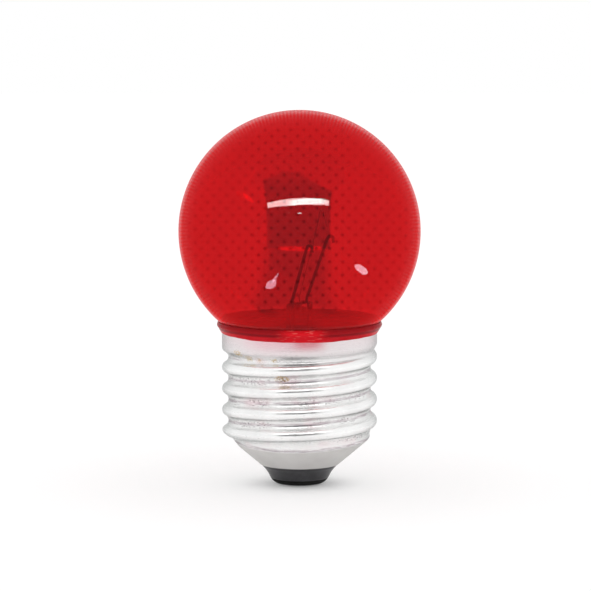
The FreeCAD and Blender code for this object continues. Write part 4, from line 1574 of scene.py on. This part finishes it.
@dataclass(frozen=True)
class Card:
    """A lit card of the tent.

    Its centre is a direction, in degrees to the right of the front and above the horizon, and its
    turn lies in its own plane. Its size is half its width and half its height as parts of a unit
    direction, its taper, and how soft its two ends are. It has one light for rays that the outside
    of the glass mirrors, and another for those that its inside does.
    """

    name: str
    centre: tuple
    turn: float
    size: tuple
    light: tuple
    within: tuple = (0.0, 0.0, 0.0)

    def axes(self) -> tuple[Vector, Vector, Vector]:
        """The card's directions.

        Returns:
            The way along it, the way across it, and the way from the lamp to its middle.
        """
        over, rise = (math.radians(angle) for angle in self.centre)
        middle = Vector((math.sin(over) * math.cos(rise), -math.cos(over) * math.cos(rise), math.sin(rise)))
        right = Vector((0.0, 0.0, 1.0)).cross(middle).normalized()
        right = -right if right.x < 0 else right
        above = right.cross(middle).normalized()
        above = -above if above.z < 0 else above
        lean = math.radians(self.turn)
        along = right * math.cos(lean) + above * math.sin(lean)
        across = above * math.cos(lean) - right * math.sin(lean)
        return along, across, middle

    def mask(self, shader: Shader, way: Socket) -> Socket:
        """A mask of the card, with crisp edges.

        At a share s of half its width, half its height is h times 1 less the taper times s squared.

        Args:
            shader: The world's shader.
            way: The direction, of length 1.

        Returns:
            1 inside the card and 0 outside.
        """
        width, height, taper, soft = self.size
        along, across, facing = (shader.dot(way, axis) for axis in self.axes())
        share = shader.maths("DIVIDE", along, width)
        limit = shader.line(shader.times(share, share), -taper * height, height)
        inside = shader.ramp(0.0, 0.012, shader.maths("SUBTRACT", limit, shader.maths("ABSOLUTE", across)))
        ends = shader.ramp(width + soft, width - soft, shader.maths("ABSOLUTE", along))
        ahead = shader.maths("GREATER_THAN", facing, 0.0)
        return shader.times(ahead, shader.times(inside, ends))


@dataclass
class Studio:
    """Camera, floor and light: a white tent with a dark opening in front that holds a strip lamp.

    The opening's upper edge is the lower of two lines over the part of the direction that points
    right: one bent at the middle, with a slope to each side, and one that cuts the left corner.
    Lengths are in metres, and directions as in Window and Card.
    """

    distance: float = 0.6
    elevation: float = 6.4
    frame_width: float = 0.09994
    target: tuple = (-0.00068, 0.0, 0.03213)
    sensor: float = 36.0
    opening: Window = Window(-0.514, 0.480, -11.6, 66.0, 1.2)
    opening_top: float = 0.890
    opening_slopes: tuple = (0.03, -0.505)
    opening_corner: tuple = (0.474, 0.998)
    opening_haze: tuple = (38.0, 60.0)
    haze_lift: float = 0.42
    column: Window = Window(-0.53, 0.40, -70.0, -9.0, 7.0)
    column_dark: float = 0.77
    metal_opening: Window = Window(-0.50, 0.46, 6.0, 34.0, 6.0)
    metal_strip: Window = Window(-0.5, 0.5, 36.0, 48.0, 3.0)
    metal_dark: float = 0.05
    metal_light: float = 1.6
    tent_white: float = 0.04
    back_window: tuple = (0.84, 0.98)
    back_white: float = 0.32
    cards: tuple = (
        Card("strip", (-1.6, 33.1), 2.9, (0.472, 0.064, 0.3, 0.006), (4.8, 34.0, 28.0)),
        Card("strip middle", (8.4, 33.2), 2.0, (0.274, 0.054, 0.2, 0.08), (1.2, 34.0, 26.0)),
        Card("speck", (0.0, 22.1), 0.0, (0.030, 0.014, 0.0, 0.006), (3.0, 40.0, 34.0)),
        Card("small speck", (-10.6, 22.4), 0.0, (0.009, 0.009, 0.0, 0.006), (1.6, 20.0, 16.0)),
        Card("red glint", (-58.0, 31.0), -20.0, (0.135, 0.036, 0.7, 0.012), (1.6, 0.0, 0.0)),
        Card("inner strip", (0.0, 23.0), 0.0, (0.37, 0.045, 0.2, 0.006), (0.0, 0.0, 0.0), (8.0, 0.2, 0.2)),
        Card("left glint", (-34.6, -44.8), 33.0, (0.120, 0.066, 0.85, 0.006), (2.5, 15.0, 16.0),
             (2.6, 0.0, 0.0)),
        Card("left tail", (-27.5, -39.0), 49.0, (0.130, 0.024, 0.8, 0.006), (2.3, 13.0, 14.0)),
        Card("right glint", (67.0, -28.2), 72.0, (0.044, 0.16, 0.5, 0.006), (2.6, 18.0, 18.0),
             (2.6, 0.0, 0.0)),
    )
    floor_front: float = -0.122
    floor_back: float = 1.2
    floor_side: float = 0.7

    def camera(self) -> None:
        """The camera at the photograph's angle, looking along +Y and a little down."""
        data = bpy.data.cameras.new("view")
        data.sensor_width = self.sensor
        data.lens = self.sensor * self.distance / self.frame_width
        data.clip_end = 10.0
        tilt = math.radians(self.elevation)
        away = Vector((0.0, -math.cos(tilt), math.sin(tilt)))
        view = bpy.data.objects.new("view", data)
        view.location = Vector(self.target) + away * self.distance
        view.rotation_euler = away.to_track_quat("Z", "Y").to_euler()
        bpy.context.scene.collection.objects.link(view)
        bpy.context.scene.camera = view

    def metal_tent(self, shader: Shader, sight: Sight) -> Socket:
        """The tent as metal mirrors it: white, with a dark opening under a strip lamp.

        Args:
            shader: The world's shader.
            sight: The direction.

        Returns:
            The colour.
        """
        level = shader.line(self.metal_opening.mask(shader, sight), self.metal_dark - 1.0, 1.0)
        level = shader.line(self.metal_strip.mask(shader, sight), self.metal_light, level)
        return shader.colour(level, level, level)

    def shade(self, shader: Shader, sight: Sight) -> Socket:
        """How dark the tent is as glass mirrors it: the opening, and the column below it.

        Args:
            shader: The world's shader.
            sight: The direction.

        Returns:
            0 where the tent is lit and 1 where it is dark.
        """
        left, right = self.opening_slopes
        top = shader.line(shader.maths("MAXIMUM", sight.east, 0.0), right, self.opening_top)
        top = shader.line(shader.maths("MINIMUM", sight.east, 0.0), left, top)
        top = shader.maths("MINIMUM", top, shader.line(sight.east, *self.opening_corner))
        below = shader.ramp(0.02, -0.015, shader.maths("SUBTRACT", sight.up, top))
        haze = shader.ramp(*(math.radians(angle) for angle in self.opening_haze), sight.rise)
        opening = shader.times(self.opening.mask(shader, sight), below)
        opening = shader.times(opening, shader.line(haze, -self.haze_lift, 1.0))
        column = shader.times(self.column.mask(shader, sight), self.column_dark)
        return shader.maths("MAXIMUM", opening, column)

    def glass_tent(self, shader: Shader, sight: Sight) -> Socket:
        """The tent as the lacquered glass mirrors it: red, paler behind, and with the lit cards.

        Args:
            shader: The world's shader.
            sight: The direction.

        Returns:
            The colour.
        """
        lit = shader.maths("SUBTRACT", 1.0, self.shade(shader, sight))
        pale = shader.times(lit, self.tent_white)
        behind = shader.times(shader.ramp(*self.back_window, sight.north), self.back_white)
        tent = shader.blend(behind, shader.colour(lit, pale, pale), WHITE)
        path = shader.node("ShaderNodeLightPath")
        outside = shader.maths("LESS_THAN", path.outputs["Transmission Depth"], 0.5)
        inside = shader.maths("GREATER_THAN", path.outputs["Transmission Depth"], 3.0)
        first = shader.maths("LESS_THAN", path.outputs["Glossy Depth"], 1.5)
        straight = shader.maths("LESS_THAN", path.outputs["Diffuse Depth"], 0.5)
        direct = shader.times(straight, shader.maths("MAXIMUM", inside, first))
        for card in self.cards:
            lamp = shader.times(card.mask(shader, sight.way), direct)
            shine = shader.colour(*(
                shader.times(lamp, shader.line(outside, light, shader.times(inside, within)))
                for light, within in zip(card.light, card.within)))
            tent = shader.plus(tent, shine)
            LOG.info("tent: %s", card.name)
        return tent

    def world(self) -> None:
        """White all round, except that reflections see the tent's dark opening and its strip lamp."""
        world = bpy.data.worlds.new("tent")
        world.use_nodes = True
        world.cycles.sampling_method = "NONE"
        bpy.context.scene.world = world
        shader = Shader(world.node_tree)
        sight = Sight(shader)
        metal = self.metal_tent(shader, sight)
        glass = self.glass_tent(shader, sight)
        seen = shader.blend(shader.mirrored_by_glass(), metal, glass)
        path = shader.node("ShaderNodeLightPath")
        mirrored = shader.maths("GREATER_THAN", path.outputs["Glossy Depth"], 0.5)
        colour = shader.blend(mirrored, WHITE, seen)
        background = shader.node("ShaderNodeBackground", {"Color": colour, "Strength": 1.0})
        shader.finish(background, "ShaderNodeOutputWorld")

    def floor(self) -> None:
        """A pale floor that stays white and still takes the lamp's soft shadow."""
        mesh = bpy.data.meshes.new("floor")
        side, front, back = self.floor_side, self.floor_front, self.floor_back
        corners = [(-side, front, 0), (side, front, 0), (side, back, 0), (-side, back, 0)]
        mesh.from_pydata(corners, [], [(0, 1, 2, 3)])
        material, shader = new_material("pale_floor")
        paper = shader.node("ShaderNodeBsdfPrincipled", {
            "Base Color": (0.86, 0.86, 0.86, 1.0),
            "Roughness": 0.9,
            "Specular IOR Level": 0.0,
            "Emission Color": WHITE,
            "Emission Strength": 0.2,
        })
        clear = shader.node("ShaderNodeBsdfTransparent")
        below = shader.node("ShaderNodeNewGeometry").outputs["Backfacing"]
        hidden = shader.maths("MAXIMUM", shader.mirrored_by_glass(), below)
        shader.finish(shader.node(
            "ShaderNodeMixShader", {0: hidden, 1: paper.outputs[0], 2: clear.outputs[0]}))
        mesh.materials.append(material)
        floor = bpy.data.objects.new("floor", mesh)
        bpy.context.scene.collection.objects.link(floor)

    def build(self) -> None:
        """Sets the scene up round the finished object."""
        self.camera()
        self.world()
        self.floor()
        LOG.info("studio: camera, tent and floor")


def main() -> None:
    """Builds the lamp, piece by piece, and the studio round it."""
    logging.basicConfig(level=logging.INFO, format="%(name)s: %(message)s")
    Globe().build()
    ScrewCap().build()
    Mount().build()
    Studio().build()
    bpy.context.scene.view_settings.view_transform = "Standard"


if __name__ == "__main__":
    main()
